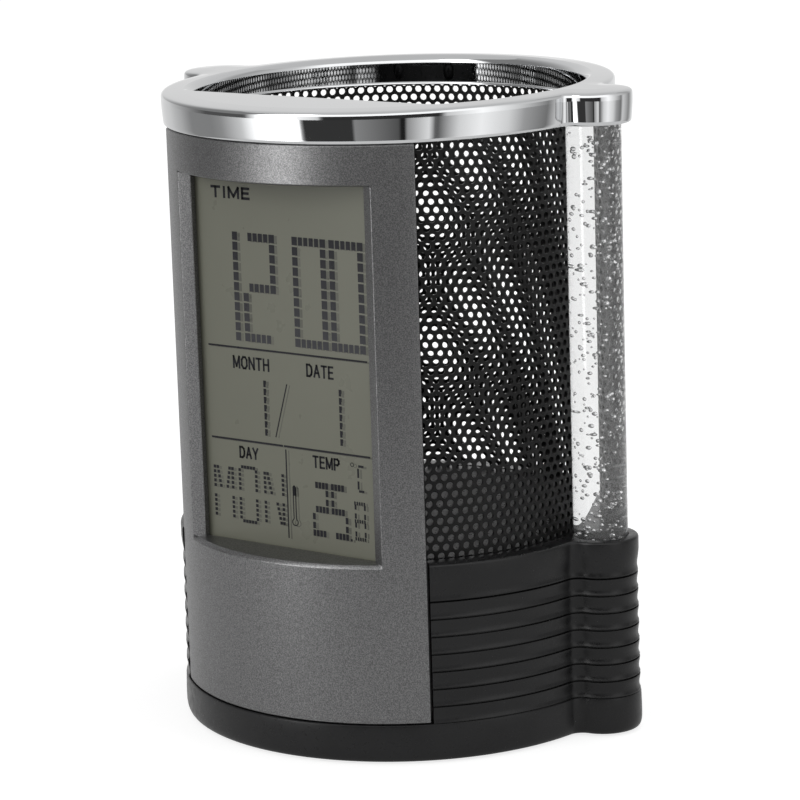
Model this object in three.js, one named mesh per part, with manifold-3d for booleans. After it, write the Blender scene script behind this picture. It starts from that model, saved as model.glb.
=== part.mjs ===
// Pen holder clock: a perforated metal cup on a ribbed base, with an upright calendar clock in front
// and a clear rod at each side. +Z is up, the clock faces -Y, and the origin is on the desk.
import * as THREE from "three";
import Module from "manifold-3d";
import { mergeVertices } from "three/addons/utils/BufferGeometryUtils.js";

const wasm = await Module();
wasm.setup();

// Overall sizes, in millimetres
const footProud = 0.4;
const plinthHeight = 6.5;
const housingHeight = 98.4;
const rimHeight = 6.1;
const baseHeight = 34.15;
const housingRadius = 39.0;
const baseProud = 0.2;
const plinthProud = 0.5;
const rimProud = 0.4;
const rodProud = 1.1;
const rodSetback = 3.3;
const rodRadius = 4.7;
const baseRadius = housingRadius + baseProud;
const plinthRadius = housingRadius + plinthProud;
const rimRadius = housingRadius + rimProud;
const rodOffset = housingRadius + rodProud;

// Clearances and the length by which a cut runs past the piece it cuts
const seam = 0.1;
const fitGap = 0.3;
const runningGap = 0.25;
const overrun = 1.0;

// Angles, in degrees: half of the housing's sweep, and of the gap that it fills in the base
const housingHalfAngle = 42.4;
const baseEdgeAngle = 43.1;

// Facet counts
const arcStep = 8.0;
const lobeSteps = 8;
const filletSteps = 2;
const housingSteps = 16;
const boreSides = 18;
const keySides = 16;
const smallSides = 12;
const screwSides = 8;

// Levels that several pieces share
const plinthBottomZ = footProud;
const plinthTopZ = plinthBottomZ + plinthHeight;
const housingTopZ = plinthTopZ + housingHeight;
const deckZ = plinthBottomZ + baseHeight;
const rimTopZ = housingTopZ + rimHeight;

const degrees = (angle) => THREE.MathUtils.degToRad(angle);

// A closed mesh as a solid that can be cut and joined
function toSolid(geometry) {
  const bare = geometry.clone();
  bare.deleteAttribute("normal");
  bare.deleteAttribute("uv");
  const merged = mergeVertices(bare, 1e-5);
  const source = new wasm.Mesh({
    numProp: 3,
    vertProperties: new Float32Array(merged.attributes.position.array),
    triVerts: new Uint32Array(merged.index.array),
  });
  return new wasm.Manifold(source);
}

// The solid as a mesh again
function toGeometry(solid) {
  const mesh = solid.getMesh();
  const geometry = new THREE.BufferGeometry();
  const vertexCount = mesh.vertProperties.length / mesh.numProp;
  const positions = new Float32Array(vertexCount * 3);
  for (let i = 0; i < vertexCount; i++) {
    for (let k = 0; k < 3; k++) {
      positions[i * 3 + k] = mesh.vertProperties[i * mesh.numProp + k];
    }
  }
  geometry.setAttribute("position", new THREE.BufferAttribute(positions, 3));
  geometry.setIndex(new THREE.BufferAttribute(new Uint32Array(mesh.triVerts), 1));
  return geometry;
}

// Cuts each of the tools from the solid in turn
function cut(solid, ...tools) {
  return tools.reduce((left, tool) => left.subtract(tool), solid);
}

// Joins the solids into one
function join(first, ...others) {
  return others.reduce((sum, other) => sum.add(other), first);
}

// A box between two corners
function block(x0, x1, y0, y1, z0, z1) {
  const geometry = new THREE.BoxGeometry(x1 - x0, y1 - y0, z1 - z0);
  geometry.translate((x0 + x1) / 2, (y0 + y1) / 2, (z0 + z1) / 2);
  return toSolid(geometry);
}

// An upright round bar
function uprightBar(x, y, radius, z0, z1, sides = boreSides) {
  const geometry = new THREE.CylinderGeometry(radius, radius, z1 - z0, sides);
  geometry.rotateX(Math.PI / 2);
  geometry.translate(x, y, (z0 + z1) / 2);
  return toSolid(geometry);
}

// A round bar that lies from front to back
function levelBar(x, z, radius, y0, y1, sides = smallSides) {
  const geometry = new THREE.CylinderGeometry(radius, radius, y1 - y0, sides);
  geometry.translate(x, (y0 + y1) / 2, z);
  return toSolid(geometry);
}

// An outline in the XY plane, raised from z0 to z1
function raised(outline, z0, z1) {
  const shape = new THREE.Shape(outline.map(([x, y]) => new THREE.Vector2(x, y)));
  const geometry = new THREE.ExtrudeGeometry(shape, { depth: z1 - z0, bevelEnabled: false });
  geometry.translate(0, 0, z0);
  return toSolid(geometry);
}

// A solid skinned over level rings of equal point count, each { z, outline }, from the lowest up
function loft(rings) {
  const count = rings[0].outline.length;
  const positions = rings.flatMap(({ z, outline }) => outline.flatMap(([x, y]) => [x, y, z]));
  const index = [];
  for (let ring = 0; ring + 1 < rings.length; ring++) {
    for (let i = 0; i < count; i++) {
      const a = ring * count + i;
      const b = ring * count + ((i + 1) % count);
      index.push(a, b, b + count, a, b + count, a + count);
    }
  }
  const cap = (outline) => {
    return THREE.ShapeUtils.triangulateShape(outline.map(([x, y]) => new THREE.Vector2(x, y)), []);
  };
  const top = (rings.length - 1) * count;
  for (const [a, b, c] of cap(rings[0].outline)) {
    index.push(a, c, b);
  }
  for (const [a, b, c] of cap(rings[rings.length - 1].outline)) {
    index.push(top + a, top + b, top + c);
  }
  const geometry = new THREE.BufferGeometry();
  geometry.setAttribute("position", new THREE.Float32BufferAttribute(positions, 3));
  geometry.setIndex(index);
  return toSolid(geometry);
}

// A profile of [radius, z] points, counter-clockwise, swept about the Z axis between two angles
function sweep(profile, fromAngle, toAngle, steps) {
  const count = profile.length;
  const positions = [];
  for (let step = 0; step <= steps; step++) {
    const angle = degrees(fromAngle + ((toAngle - fromAngle) * step) / steps);
    for (const [radius, z] of profile) {
      positions.push(radius * Math.cos(angle), radius * Math.sin(angle), z);
    }
  }
  const index = [];
  for (let step = 0; step < steps; step++) {
    for (let i = 0; i < count; i++) {
      const a = step * count + i;
      const b = step * count + ((i + 1) % count);
      index.push(a, a + count, b + count, a, b + count, b);
    }
  }
  const faces = THREE.ShapeUtils.triangulateShape(profile.map(([r, z]) => new THREE.Vector2(r, z)), []);
  const last = steps * count;
  for (const [a, b, c] of faces) {
    index.push(a, b, c);
    index.push(last + a, last + c, last + b);
  }
  const geometry = new THREE.BufferGeometry();
  geometry.setAttribute("position", new THREE.Float32BufferAttribute(positions, 3));
  geometry.setIndex(index);
  return toSolid(geometry);
}

// How many steps a large arc takes from one angle to the other, in radians
function arcSteps(from, to) {
  return Math.round(Math.abs(to - from) / degrees(arcStep));
}

// Points on an arc, both ends included, angles in radians
function arc(centreX, centreY, radius, from, to, steps) {
  return Array.from({ length: steps + 1 }, (unused, step) => {
    const angle = from + ((to - from) * step) / steps;
    return [centreX + radius * Math.cos(angle), centreY + radius * Math.sin(angle)];
  });
}

// The right half of an outline with its mirror image, as one closed outline
function mirrored(half) {
  const onAxis = (point) => Math.abs(point[0]) < 1e-9;
  const left = half.filter((point) => !onAxis(point)).map(([x, y]) => [-x, y]).reverse();
  return [...half, ...left];
}

// The right half of a round outline with a lobe about the rod, from the front round to the back
function lobedHalf(radius, lobeRadius, filletRadius, inset, startAngle) {
  const start = degrees(startAngle);
  const main = radius - inset;
  const lobe = lobeRadius - inset;
  const fillet = filletRadius + inset;
  const distance = Math.hypot(rodOffset, rodSetback);
  const bearing = Math.atan2(rodSetback, rodOffset);
  const reach = main + fillet;
  const spread = Math.acos((reach ** 2 + distance ** 2 - (lobe + fillet) ** 2) / (2 * reach * distance));
  const frontX = reach * Math.cos(bearing - spread);
  const frontY = reach * Math.sin(bearing - spread);
  const backX = reach * Math.cos(bearing + spread);
  const backY = reach * Math.sin(bearing + spread);
  const toFront = Math.atan2(frontY - rodSetback, frontX - rodOffset);
  const toBack = Math.atan2(backY - rodSetback, backX - rodOffset);
  return [
    ...arc(0, 0, main, start, bearing - spread, arcSteps(start, bearing - spread)),
    ...arc(frontX, frontY, fillet, bearing - spread + Math.PI, toFront + Math.PI, filletSteps).slice(1),
    ...arc(rodOffset, rodSetback, lobe, toFront, toBack, lobeSteps).slice(1),
    ...arc(backX, backY, fillet, toBack + Math.PI, bearing + spread + Math.PI, filletSteps).slice(1),
    ...arc(0, 0, main, bearing + spread, Math.PI / 2, arcSteps(bearing + spread, Math.PI / 2)).slice(1, -1),
    [0, main],
  ];
}

// The mouth's outline: a circle cut off by a chord in front, with rounded corners
function mouthOutline(radius, chordOffset, cornerRadius) {
  const cornerY = cornerRadius - chordOffset;
  const cornerX = Math.sqrt((radius - cornerRadius) ** 2 - cornerY ** 2);
  const bearing = Math.atan2(cornerY, cornerX);
  return mirrored([
    [0, -chordOffset],
    ...arc(cornerX, cornerY, cornerRadius, -Math.PI / 2, bearing, filletSteps + 1),
    ...arc(0, 0, radius, bearing, Math.PI / 2, arcSteps(bearing, Math.PI / 2)).slice(1, -1),
    [0, radius],
  ]);
}

// Materials, one maker for each finish
const paint = (color, roughness, metalness) => {
  return new THREE.MeshStandardMaterial({ color, roughness, metalness });
};
const greyPaint = () => paint(0x66686c, 0.45, 0.6);
const blackPlastic = () => paint(0x242426, 0.45, 0.0);
const blackMetal = () => paint(0x1c1c1e, 0.4, 0.5);
const chrome = () => paint(0xd8dadc, 0.08, 1.0);
const acrylic = () => paint(0xe4ecee, 0.05, 0.0);
const displayGlass = () => paint(0x70715f, 0.3, 0.0);
const circuitBoard = () => paint(0x1e5a34, 0.5, 0.0);
const steel = () => paint(0xb4b6b8, 0.3, 1.0);
const rubber = () => paint(0x202020, 0.8, 0.0);
const whitePlastic = () => paint(0xe8e8e0, 0.4, 0.0);
const cellWrap = () => paint(0x3c5a78, 0.35, 0.2);

const clock = new THREE.Group();

// Adds a solid to the model as a named piece
function addPiece(name, solid, material) {
  const mesh = new THREE.Mesh(toGeometry(solid), material);
  mesh.name = name;
  clock.add(mesh);
}

// Front housing: a curved shell with a tall bevelled window and the screw bosses behind it
const housingWall = 1.8;
const windowHalfAngle = 28.0;
const windowRise = 27.8;
const windowDrop = 6.9;
const bevelWidth = 2.1;
const bevelDepth = 0.9;
const lipWidth = 0.65;
const lipDepth = 0.6;
const frameWall = 1.4;
const frameSideWall = 3.3;
const displayDepth = 8.0;
const clockDepth = 8.4;
const coverWall = 2.0;
const glassMargin = 1.1;
const displayFrameWall = 1.0;
const coverLap = 0.9;
const sideWall = 1.2;
const flangeDepth = 1.2;
const flangeWall = 1.0;
const boardThickness = 1.0;
const boardGap = 0.3;
const windowBottomZ = plinthTopZ + windowRise;
const windowTopZ = housingTopZ - windowDrop;
const windowHalfWidth = housingRadius * Math.sin(degrees(windowHalfAngle));
const housingInnerRadius = housingRadius - housingWall;
const displayOffset = housingRadius - displayDepth;
const coverOffset = displayOffset - clockDepth;
const displayFrameHalfWidth = windowHalfWidth + glassMargin + fitGap + displayFrameWall;
const sideWallInnerX = displayFrameHalfWidth + runningGap;
const sideWallOuterX = sideWallInnerX + sideWall;
const coverHalfWidth = sideWallInnerX + coverLap;
const coverInnerY = -(coverOffset + coverWall);
const boardBackY = coverInnerY - boardGap;
const boardFrontY = boardBackY - boardThickness;

// Screws of the clock's rear cover, and the upright bosses for the tray's two front screws
const coverBossRadius = 2.4;
const coverScrewShare = 0.79;
const coverScrewRise = 7.5;
const upperBossRadius = 1.8;
const upperScrewShare = 0.5;
const upperScrewDrop = 2.1;
const trayBossRadius = 2.6;
const trayBossHeight = 8.0;
const frontScrewAngle = 19.0;
const frontScrewInset = 5.6;
const webWidth = 1.6;
const pilotRadius = 1.3;
const pilotDepth = 6.5;
const frontScrewX = (housingRadius - frontScrewInset) * Math.sin(degrees(frontScrewAngle));
const frontScrewOffset = (housingRadius - frontScrewInset) * Math.cos(degrees(frontScrewAngle));
const coverScrewX = coverHalfWidth * coverScrewShare;
const upperScrewX = coverHalfWidth * upperScrewShare;
const coverScrewZ = plinthTopZ + coverScrewRise;
const upperScrewZ = housingTopZ - upperScrewDrop;

function makeFrontHousing() {
  const bottomZ = plinthTopZ + seam;
  const topZ = housingTopZ - seam;
  const from = -90 - housingHalfAngle;
  const to = -90 + housingHalfAngle;
  const shellProfile = [
    [housingInnerRadius, bottomZ], [housingRadius, bottomZ],
    [housingRadius, topZ], [housingInnerRadius, topZ],
  ];
  const shell = sweep(shellProfile, from, to, housingSteps);
  const withinShell = uprightBar(0, 0, housingRadius - housingWall / 2, bottomZ, topZ, boreSides * 4);
  const frameHalfWidth = windowHalfWidth + frameSideWall;
  const frameBackY = -(displayOffset + runningGap);
  const frame = block(-frameHalfWidth, frameHalfWidth, -housingRadius, frameBackY,
    windowBottomZ - frameWall, windowTopZ + frameWall);
  const sideWalls = [-1, 1].map((side) => {
    const middleX = side * (sideWallInnerX + sideWallOuterX) / 2;
    return block(middleX - sideWall / 2, middleX + sideWall / 2, -housingRadius, coverInnerY - seam,
      bottomZ, topZ);
  });
  const bossFrontY = -(housingRadius - housingWall);
  const bosses = [-1, 1].flatMap((side) => [
    levelBar(side * coverScrewX, coverScrewZ, coverBossRadius, bossFrontY, boardFrontY - seam),
    levelBar(side * upperScrewX, upperScrewZ, upperBossRadius, bossFrontY, coverInnerY - seam),
    uprightBar(side * frontScrewX, -frontScrewOffset, trayBossRadius, bottomZ, bottomZ + trayBossHeight,
      smallSides),
    block(side * frontScrewX - webWidth / 2, side * frontScrewX + webWidth / 2, -housingRadius,
      -frontScrewOffset, bottomZ, bottomZ + trayBossHeight),
  ]);
  const inner = join(frame, ...sideWalls, ...bosses).intersect(withinShell);
  const window = block(-windowHalfWidth, windowHalfWidth, -housingRadius - overrun, frameBackY + overrun,
    windowBottomZ, windowTopZ);
  const bevelX = windowHalfWidth + bevelWidth;
  const bevelY = -Math.sqrt(housingRadius ** 2 - bevelX ** 2);
  const frontY = -housingRadius - overrun;
  const bevel = raised([
    [-bevelX, frontY], [bevelX, frontY], [bevelX, bevelY], [windowHalfWidth, bevelY + bevelDepth],
    [-windowHalfWidth, bevelY + bevelDepth], [-bevelX, bevelY],
  ], windowBottomZ, windowTopZ);
  const bevelAngle = THREE.MathUtils.radToDeg(Math.asin(bevelX / housingRadius));
  const lipRun = lipWidth * (1 + overrun / lipDepth);
  const lip = (edgeZ, way) => {
    const profile = [
      [housingRadius - lipDepth, edgeZ], [housingRadius + overrun, edgeZ - way * lipRun],
      [housingRadius + overrun, edgeZ + way * overrun], [housingRadius - lipDepth, edgeZ + way * overrun],
    ];
    return sweep(way > 0 ? profile : profile.reverse(), -90 - bevelAngle, -90 + bevelAngle, housingSteps);
  };
  const pilots = [-1, 1].flatMap((side) => [
    levelBar(side * coverScrewX, coverScrewZ, pilotRadius, boardFrontY - pilotDepth, boardFrontY),
    levelBar(side * upperScrewX, upperScrewZ, pilotRadius, coverInnerY - pilotDepth, coverInnerY),
    uprightBar(side * frontScrewX, -frontScrewOffset, pilotRadius, bottomZ - overrun, bottomZ + pilotDepth,
      smallSides),
  ]);
  return cut(join(shell, inner), window, bevel, lip(windowBottomZ, 1), lip(windowTopZ, -1), ...pilots);
}
addPiece("front_housing", makeFrontHousing(), greyPaint());

// Display: the glass, the frame that holds it, and the rubber strips that join it to the board
const glassThickness = 2.2;
const frameLedge = 3.0;
const stripHeight = 1.6;
const stripInset = 1.2;
const stripOverhang = 0.2;
const glassHalfWidth = windowHalfWidth + glassMargin;
const glassBottomZ = windowBottomZ - glassMargin;
const glassTopZ = windowTopZ + glassMargin;
const glassFrontY = -displayOffset;
const glassBackY = glassFrontY + glassThickness;
const stripHalfWidth = glassHalfWidth - frameLedge - stripOverhang;
const stripLevels = [glassBottomZ + stripInset, glassTopZ - stripInset - stripHeight];

addPiece("display_glass",
  block(-glassHalfWidth, glassHalfWidth, glassFrontY, glassBackY, glassBottomZ, glassTopZ), displayGlass());

function makeDisplayFrame() {
  const reach = fitGap + displayFrameWall;
  const frameBackY = boardFrontY - seam;
  const outer = block(-glassHalfWidth - reach, glassHalfWidth + reach, glassFrontY, frameBackY,
    glassBottomZ - reach, glassTopZ + reach);
  const pocket = block(-glassHalfWidth - fitGap, glassHalfWidth + fitGap, glassFrontY - overrun,
    glassBackY + seam, glassBottomZ - fitGap, glassTopZ + fitGap);
  const opening = block(-glassHalfWidth + frameLedge, glassHalfWidth - frameLedge, glassFrontY, 0,
    glassBottomZ + frameLedge + stripInset, glassTopZ - frameLedge - stripInset);
  const slots = stripLevels.map((z) => {
    return block(-stripHalfWidth - fitGap, stripHalfWidth + fitGap, glassFrontY, 0, z - fitGap,
      z + stripHeight + fitGap);
  });
  const withinHousing = uprightBar(0, 0, housingInnerRadius - fitGap, 0, rimTopZ, boreSides * 4);
  return cut(outer, pocket, opening, ...slots).intersect(withinHousing);
}
addPiece("display_frame", makeDisplayFrame(), blackPlastic());
["lower_connector_strip", "upper_connector_strip"].forEach((name, i) => {
  const strip = block(-stripHalfWidth, stripHalfWidth, glassBackY + seam, boardFrontY - seam,
    stripLevels[i], stripLevels[i] + stripHeight);
  addPiece(name, strip, rubber());
});

// Clock board with what it carries on its front, below the display
const boardSideGap = 1.6;
const boardRise = 3.4;
const boardDrop = 4.5;
const chipRadius = 5.5;
const chipHeight = 1.6;
const chipX = 8.0;
const chipRise = 13.0;
const crystalRadius = 1.0;
const crystalLength = 6.0;
const crystalX = 6.0;
const crystalRise = 21.5;
const buzzerRadius = 6.5;
const buzzerHeight = 2.6;
const buzzerPortRadius = 1.0;
const buzzerX = -8.5;
const buzzerRise = 15.0;
const sensorRadius = 1.1;
const sensorHeight = 1.4;
const sensorRise = 6.0;
const boardHalfWidth = sideWallInnerX - boardSideGap;
const boardBottomZ = plinthTopZ + boardRise;
const boardTopZ = housingTopZ - boardDrop;
const partBackY = boardFrontY - seam;

function makeClockBoard() {
  const board = block(-boardHalfWidth, boardHalfWidth, boardFrontY, boardBackY, boardBottomZ, boardTopZ);
  const holes = [-1, 1].map((side) => {
    return levelBar(side * coverScrewX, coverScrewZ, pilotRadius, boardFrontY - overrun,
      boardBackY + overrun);
  });
  return cut(board, ...holes);
}
addPiece("clock_board", makeClockBoard(), circuitBoard());

function makeChipCap() {
  const dome = new THREE.SphereGeometry(chipRadius, smallSides, smallSides / 2);
  dome.scale(1, chipHeight / chipRadius, 1);
  dome.translate(chipX, partBackY, plinthTopZ + chipRise);
  const front = block(chipX - chipRadius, chipX + chipRadius, partBackY - chipHeight - overrun, partBackY,
    plinthTopZ + chipRise - chipRadius, plinthTopZ + chipRise + chipRadius);
  return toSolid(dome).intersect(front);
}
addPiece("chip_cap", makeChipCap(), rubber());

function makeCrystal() {
  const can = new THREE.CylinderGeometry(crystalRadius, crystalRadius, crystalLength, smallSides);
  can.rotateZ(Math.PI / 2);
  can.translate(crystalX, partBackY - crystalRadius, plinthTopZ + crystalRise);
  return toSolid(can);
}
addPiece("quartz_crystal", makeCrystal(), steel());

function makeBuzzer() {
  const z = plinthTopZ + buzzerRise;
  const can = levelBar(buzzerX, z, buzzerRadius, partBackY - buzzerHeight, partBackY, boreSides);
  const port = levelBar(buzzerX, z, buzzerPortRadius, partBackY - buzzerHeight - overrun,
    partBackY - buzzerHeight / 2);
  return cut(can, port);
}
addPiece("buzzer", makeBuzzer(), blackPlastic());
addPiece("temperature_sensor",
  levelBar(0, plinthTopZ + sensorRise, sensorRadius, partBackY - sensorHeight, partBackY), whitePlastic());

// Rear cover of the clock: the flat wall of the mouth, with a flange inside each side wall
const screwHeadRadius = 2.1;
const screwHeadHeight = 1.1;
const screwShankRadius = 1.1;
const headSinkRadius = 2.4;
const headSinkDepth = 1.2;
const coverScrews = [
  [-coverScrewX, coverScrewZ], [coverScrewX, coverScrewZ],
  [-upperScrewX, upperScrewZ], [upperScrewX, upperScrewZ],
];

function makeRearCover() {
  const bottomZ = plinthTopZ + fitGap;
  const topZ = housingTopZ - fitGap;
  const plate = block(-coverHalfWidth, coverHalfWidth, coverInnerY, -coverOffset, bottomZ, topZ);
  const flanges = [-1, 1].map((side) => {
    const middleX = side * (sideWallInnerX - fitGap - flangeWall / 2);
    return block(middleX - flangeWall / 2, middleX + flangeWall / 2, coverInnerY - flangeDepth,
      coverInnerY + seam, bottomZ, topZ);
  });
  const holes = coverScrews.flatMap(([x, z]) => [
    levelBar(x, z, pilotRadius, coverInnerY - overrun, 0),
    levelBar(x, z, headSinkRadius, -coverOffset - headSinkDepth, 0),
  ]);
  return cut(join(plate, ...flanges), ...holes);
}
addPiece("rear_cover", makeRearCover(), blackPlastic());

// A pan-head screw along Z with its head's underside at the origin and its shank downwards
function makeScrew(length) {
  const profile = [
    [0, -length], [screwShankRadius, -length], [screwShankRadius, 0], [screwHeadRadius, 0],
    [screwHeadRadius, screwHeadHeight / 2], [screwShankRadius, screwHeadHeight], [0, screwHeadHeight],
  ];
  const geometry = new THREE.LatheGeometry(profile.map(([r, z]) => new THREE.Vector2(r, z)), screwSides);
  geometry.rotateX(Math.PI / 2);
  return geometry;
}
const coverScrewLength = 5.0;
coverScrews.forEach(([x, z], i) => {
  const screw = makeScrew(coverScrewLength);
  screw.rotateX(-Math.PI / 2);
  screw.translate(x, -coverOffset - headSinkDepth + seam, z);
  addPiece(`cover_screw_${i + 1}`, toSolid(screw), steel());
});

// Cells and the levels of the pocket that holds them, on which the key panel's height depends
const cellRadius = 5.25;
const cellLength = 44.5;
const cellNoseRadius = 1.9;
const cellNoseLength = 0.8;
const pocketWall = 1.5;
const pocketSetIn = 0.5;
const springRoom = 3.6;
const contactThickness = 0.4;
const doorThickness = 1.7;
const doorSetIn = 0.2;
const doorBottomZ = plinthBottomZ + doorSetIn;
const doorTopZ = doorBottomZ + doorThickness;
const cellBottomZ = doorTopZ + fitGap;
const cellZ = cellBottomZ + cellRadius;
const pocketTopZ = cellBottomZ + 2 * cellRadius + fitGap;

// Base shell: ribbed wall with a lobe under each rod, the cup's floor, and the key panel at the back
const baseLobeWall = 1.75;
const baseFillet = 2.0;
const baseWall = 2.4;
const ribCount = 7;
const ribPitch = 3.03;
const ribDepth = 0.3;
const ribShares = [[0, 0], [0.12, 1]];
const deckEdge = 0.4;
const deckThickness = 2.4;
const grooveDepth = 1.2;
const grooveLead = 2.0;
const sleeveThickness = 0.5;
const rodSeatDepth = 6.0;
const rodFit = 0.15;
const socketWall = 1.4;
const lampBoreRadius = 3.2;
const baseCornerRadius = 2.0;
const baseLobeRadius = rodRadius + baseLobeWall;
const sleeveRadius = Math.hypot(rodOffset, rodSetback) - rodRadius - seam;
const sleeveHalfGap = Math.asin((sideWallOuterX + fitGap) / (sleeveRadius - sleeveThickness));
const sleeveHalfGapAngle = THREE.MathUtils.radToDeg(sleeveHalfGap);
const notchY = -(coverOffset - fitGap);
const notchHalfWidth = sideWallOuterX + fitGap;
const stepRadius = housingInnerRadius - fitGap;
const rodSeatZ = deckZ - rodSeatDepth;
const rods = [-1, 1].map((side) => side * rodOffset);

// Screws from the tray into the base, and the shares of the base's radius that place them
const baseBossRadius = 2.8;
const baseScrewShares = [[0.56, -0.1], [0.51, 0.66]];
const plinthFloor = 3.0;
const floorTopZ = plinthBottomZ + plinthFloor;
const baseScrews = [-1, 1].flatMap((side) => {
  return baseScrewShares.map(([shareX, shareY]) => [side * shareX * baseRadius, shareY * baseRadius]);
});
const frontScrews = [-1, 1].map((side) => [side * frontScrewX, -frontScrewOffset]);

// Key panel: a flat recess at the back with four keys in a row above the lamp switch
const panelDepth = 3.2;
const panelWall = 2.0;
const panelMargin = 2.4;
const panelEdge = 0.3;
const keyRadius = 2.5;
const keyPitch = 6.8;
const keyLevelShare = 0.71;
const sliderLevelShare = 0.27;
const keyShares = [-1.5, -0.5, 0.5, 1.5];
const keyMargin = 4.8;
const sliderMargin = 1.8;
const sliderTravel = 3.0;
const sliderHalfWidth = 1.2;
const panelOffset = baseRadius - panelDepth;
const panelHalfWidth = keyPitch * keyShares[keyShares.length - 1] + keyMargin;
const panelInnerY = panelOffset - panelWall;
const undersideZ = deckZ - deckThickness;
const pocketRoofZ = pocketTopZ + pocketWall;
const keyZ = pocketRoofZ + (undersideZ - pocketRoofZ) * keyLevelShare;
const sliderZ = pocketRoofZ + (undersideZ - pocketRoofZ) * sliderLevelShare;
const panelBottomZ = sliderZ - sliderHalfWidth - sliderMargin;
const panelTopZ = undersideZ - panelEdge;
const slotHalfWidth = sliderTravel / 2 + sliderHalfWidth + runningGap;
const controlBossRadius = 1.7;
const controlBossInset = 1.0;
const controlBossHeight = 4.0;
const controlBossX = panelHalfWidth - controlBossInset;
const controlBoardFaceY = panelInnerY - controlBossHeight;
const controlBoardOffset = controlBoardFaceY - boardThickness;

function baseOutline(inset) {
  const start = -90 + baseEdgeAngle;
  const sideY = -Math.sqrt(stepRadius ** 2 - notchHalfWidth ** 2);
  return mirrored([
    [0, notchY], [notchHalfWidth, notchY], [notchHalfWidth, sideY],
    [stepRadius * Math.cos(degrees(start)), stepRadius * Math.sin(degrees(start))],
    ...lobedHalf(baseRadius, baseLobeRadius, baseFillet, inset, start),
  ]);
}

function makeBaseShell() {
  const rings = [];
  for (let rib = 0; rib <= ribCount; rib++) {
    for (const [heightShare, depthShare] of ribShares) {
      const lowest = rib === 0 && heightShare === 0;
      const z = plinthTopZ + (rib + heightShare) * ribPitch + (lowest ? seam : 0);
      rings.push({ z, outline: baseOutline(depthShare * ribDepth) });
    }
  }
  rings.push({ z: deckZ - deckEdge, outline: baseOutline(0) });
  rings.push({ z: deckZ, outline: baseOutline(deckEdge) });
  const outer = loft(rings);
  const sockets = rods.map((x) => {
    return uprightBar(x, rodSetback, rodRadius + rodFit + socketWall, plinthTopZ, deckZ);
  });
  const hollow = raised(mouthOutline(baseRadius - baseWall, -notchY - baseWall, baseCornerRadius),
    plinthTopZ - overrun, undersideZ);
  const cavity = cut(hollow, ...sockets);
  const panelBlock = block(-panelHalfWidth - panelMargin, panelHalfWidth + panelMargin, panelInnerY,
    baseRadius, pocketRoofZ + fitGap, undersideZ + overrun).intersect(outer);
  const bosses = baseScrews.map(([x, y]) => {
    return uprightBar(x, y, baseBossRadius, floorTopZ + seam, undersideZ + overrun, smallSides);
  });
  const controlBosses = [-1, 1].map((side) => {
    return levelBar(side * controlBossX, sliderZ, controlBossRadius, controlBoardFaceY + seam,
      panelInnerY + overrun);
  });
  const body = join(cut(outer, cavity), panelBlock, ...bosses, ...controlBosses);
  const panelRecess = block(-panelHalfWidth, panelHalfWidth, panelOffset, baseRadius + overrun,
    panelBottomZ, panelTopZ);
  const keyHoles = keyShares.map((share) => {
    return levelBar(share * keyPitch, keyZ, keyRadius + runningGap, panelInnerY - overrun,
      panelOffset + overrun, keySides);
  });
  const slot = block(-slotHalfWidth, slotHalfWidth, panelInnerY - overrun, panelOffset + overrun,
    sliderZ - sliderHalfWidth - runningGap, sliderZ + sliderHalfWidth + runningGap);
  const bores = rods.flatMap((x) => [
    uprightBar(x, rodSetback, rodRadius + rodFit, rodSeatZ, deckZ + overrun),
    uprightBar(x, rodSetback, lampBoreRadius, 0, deckZ),
  ]);
  const pilots = baseScrews.map(([x, y]) => {
    return uprightBar(x, y, pilotRadius, 0, floorTopZ + pilotDepth, smallSides);
  });
  const controlPilots = [-1, 1].map((side) => {
    return levelBar(side * controlBossX, sliderZ, pilotRadius, 0, panelInnerY + seam);
  });
  const groove = sweep([
    [sleeveRadius - sleeveThickness - fitGap, deckZ - grooveDepth],
    [sleeveRadius + fitGap, deckZ - grooveDepth],
    [sleeveRadius + fitGap, deckZ + overrun],
    [sleeveRadius - sleeveThickness - fitGap, deckZ + overrun],
  ], -90 + sleeveHalfGapAngle - grooveLead, 270 - sleeveHalfGapAngle + grooveLead, sleeveColumns * 2);
  return cut(body, panelRecess, ...keyHoles, slot, ...bores, ...pilots, ...controlPilots, groove);
}

// Perforated sleeve: the cup's wall, a sheet with staggered six-sided holes
const sleeveColumns = 12;
const sleeveRows = 7;
const sleeveMarginBottom = 1.2;
const sleeveMarginTop = 1.0;
const sleeveInRim = 2.7;
const holeShare = 0.74;
addPiece("base_shell", makeBaseShell(), blackPlastic());

// A sheet of flat triangles given thickness: place(point, depth) puts a sheet point in space
function thickSheet(points, triangles, place) {
  const count = points.length;
  const positions = [...points.flatMap((p) => place(p, 0)), ...points.flatMap((p) => place(p, 1))];
  const index = [];
  const edges = new Set();
  for (const [a, b, c] of triangles) {
    index.push(a, b, c, count + a, count + c, count + b);
    edges.add(`${a} ${b}`).add(`${b} ${c}`).add(`${c} ${a}`);
  }
  for (const edge of edges) {
    const [a, b] = edge.split(" ").map(Number);
    if (!edges.has(`${b} ${a}`)) {
      index.push(b, a, count + a, b, count + a, count + b);
    }
  }
  const geometry = new THREE.BufferGeometry();
  geometry.setAttribute("position", new THREE.Float32BufferAttribute(positions, 3));
  geometry.setIndex(index);
  return geometry;
}

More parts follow.
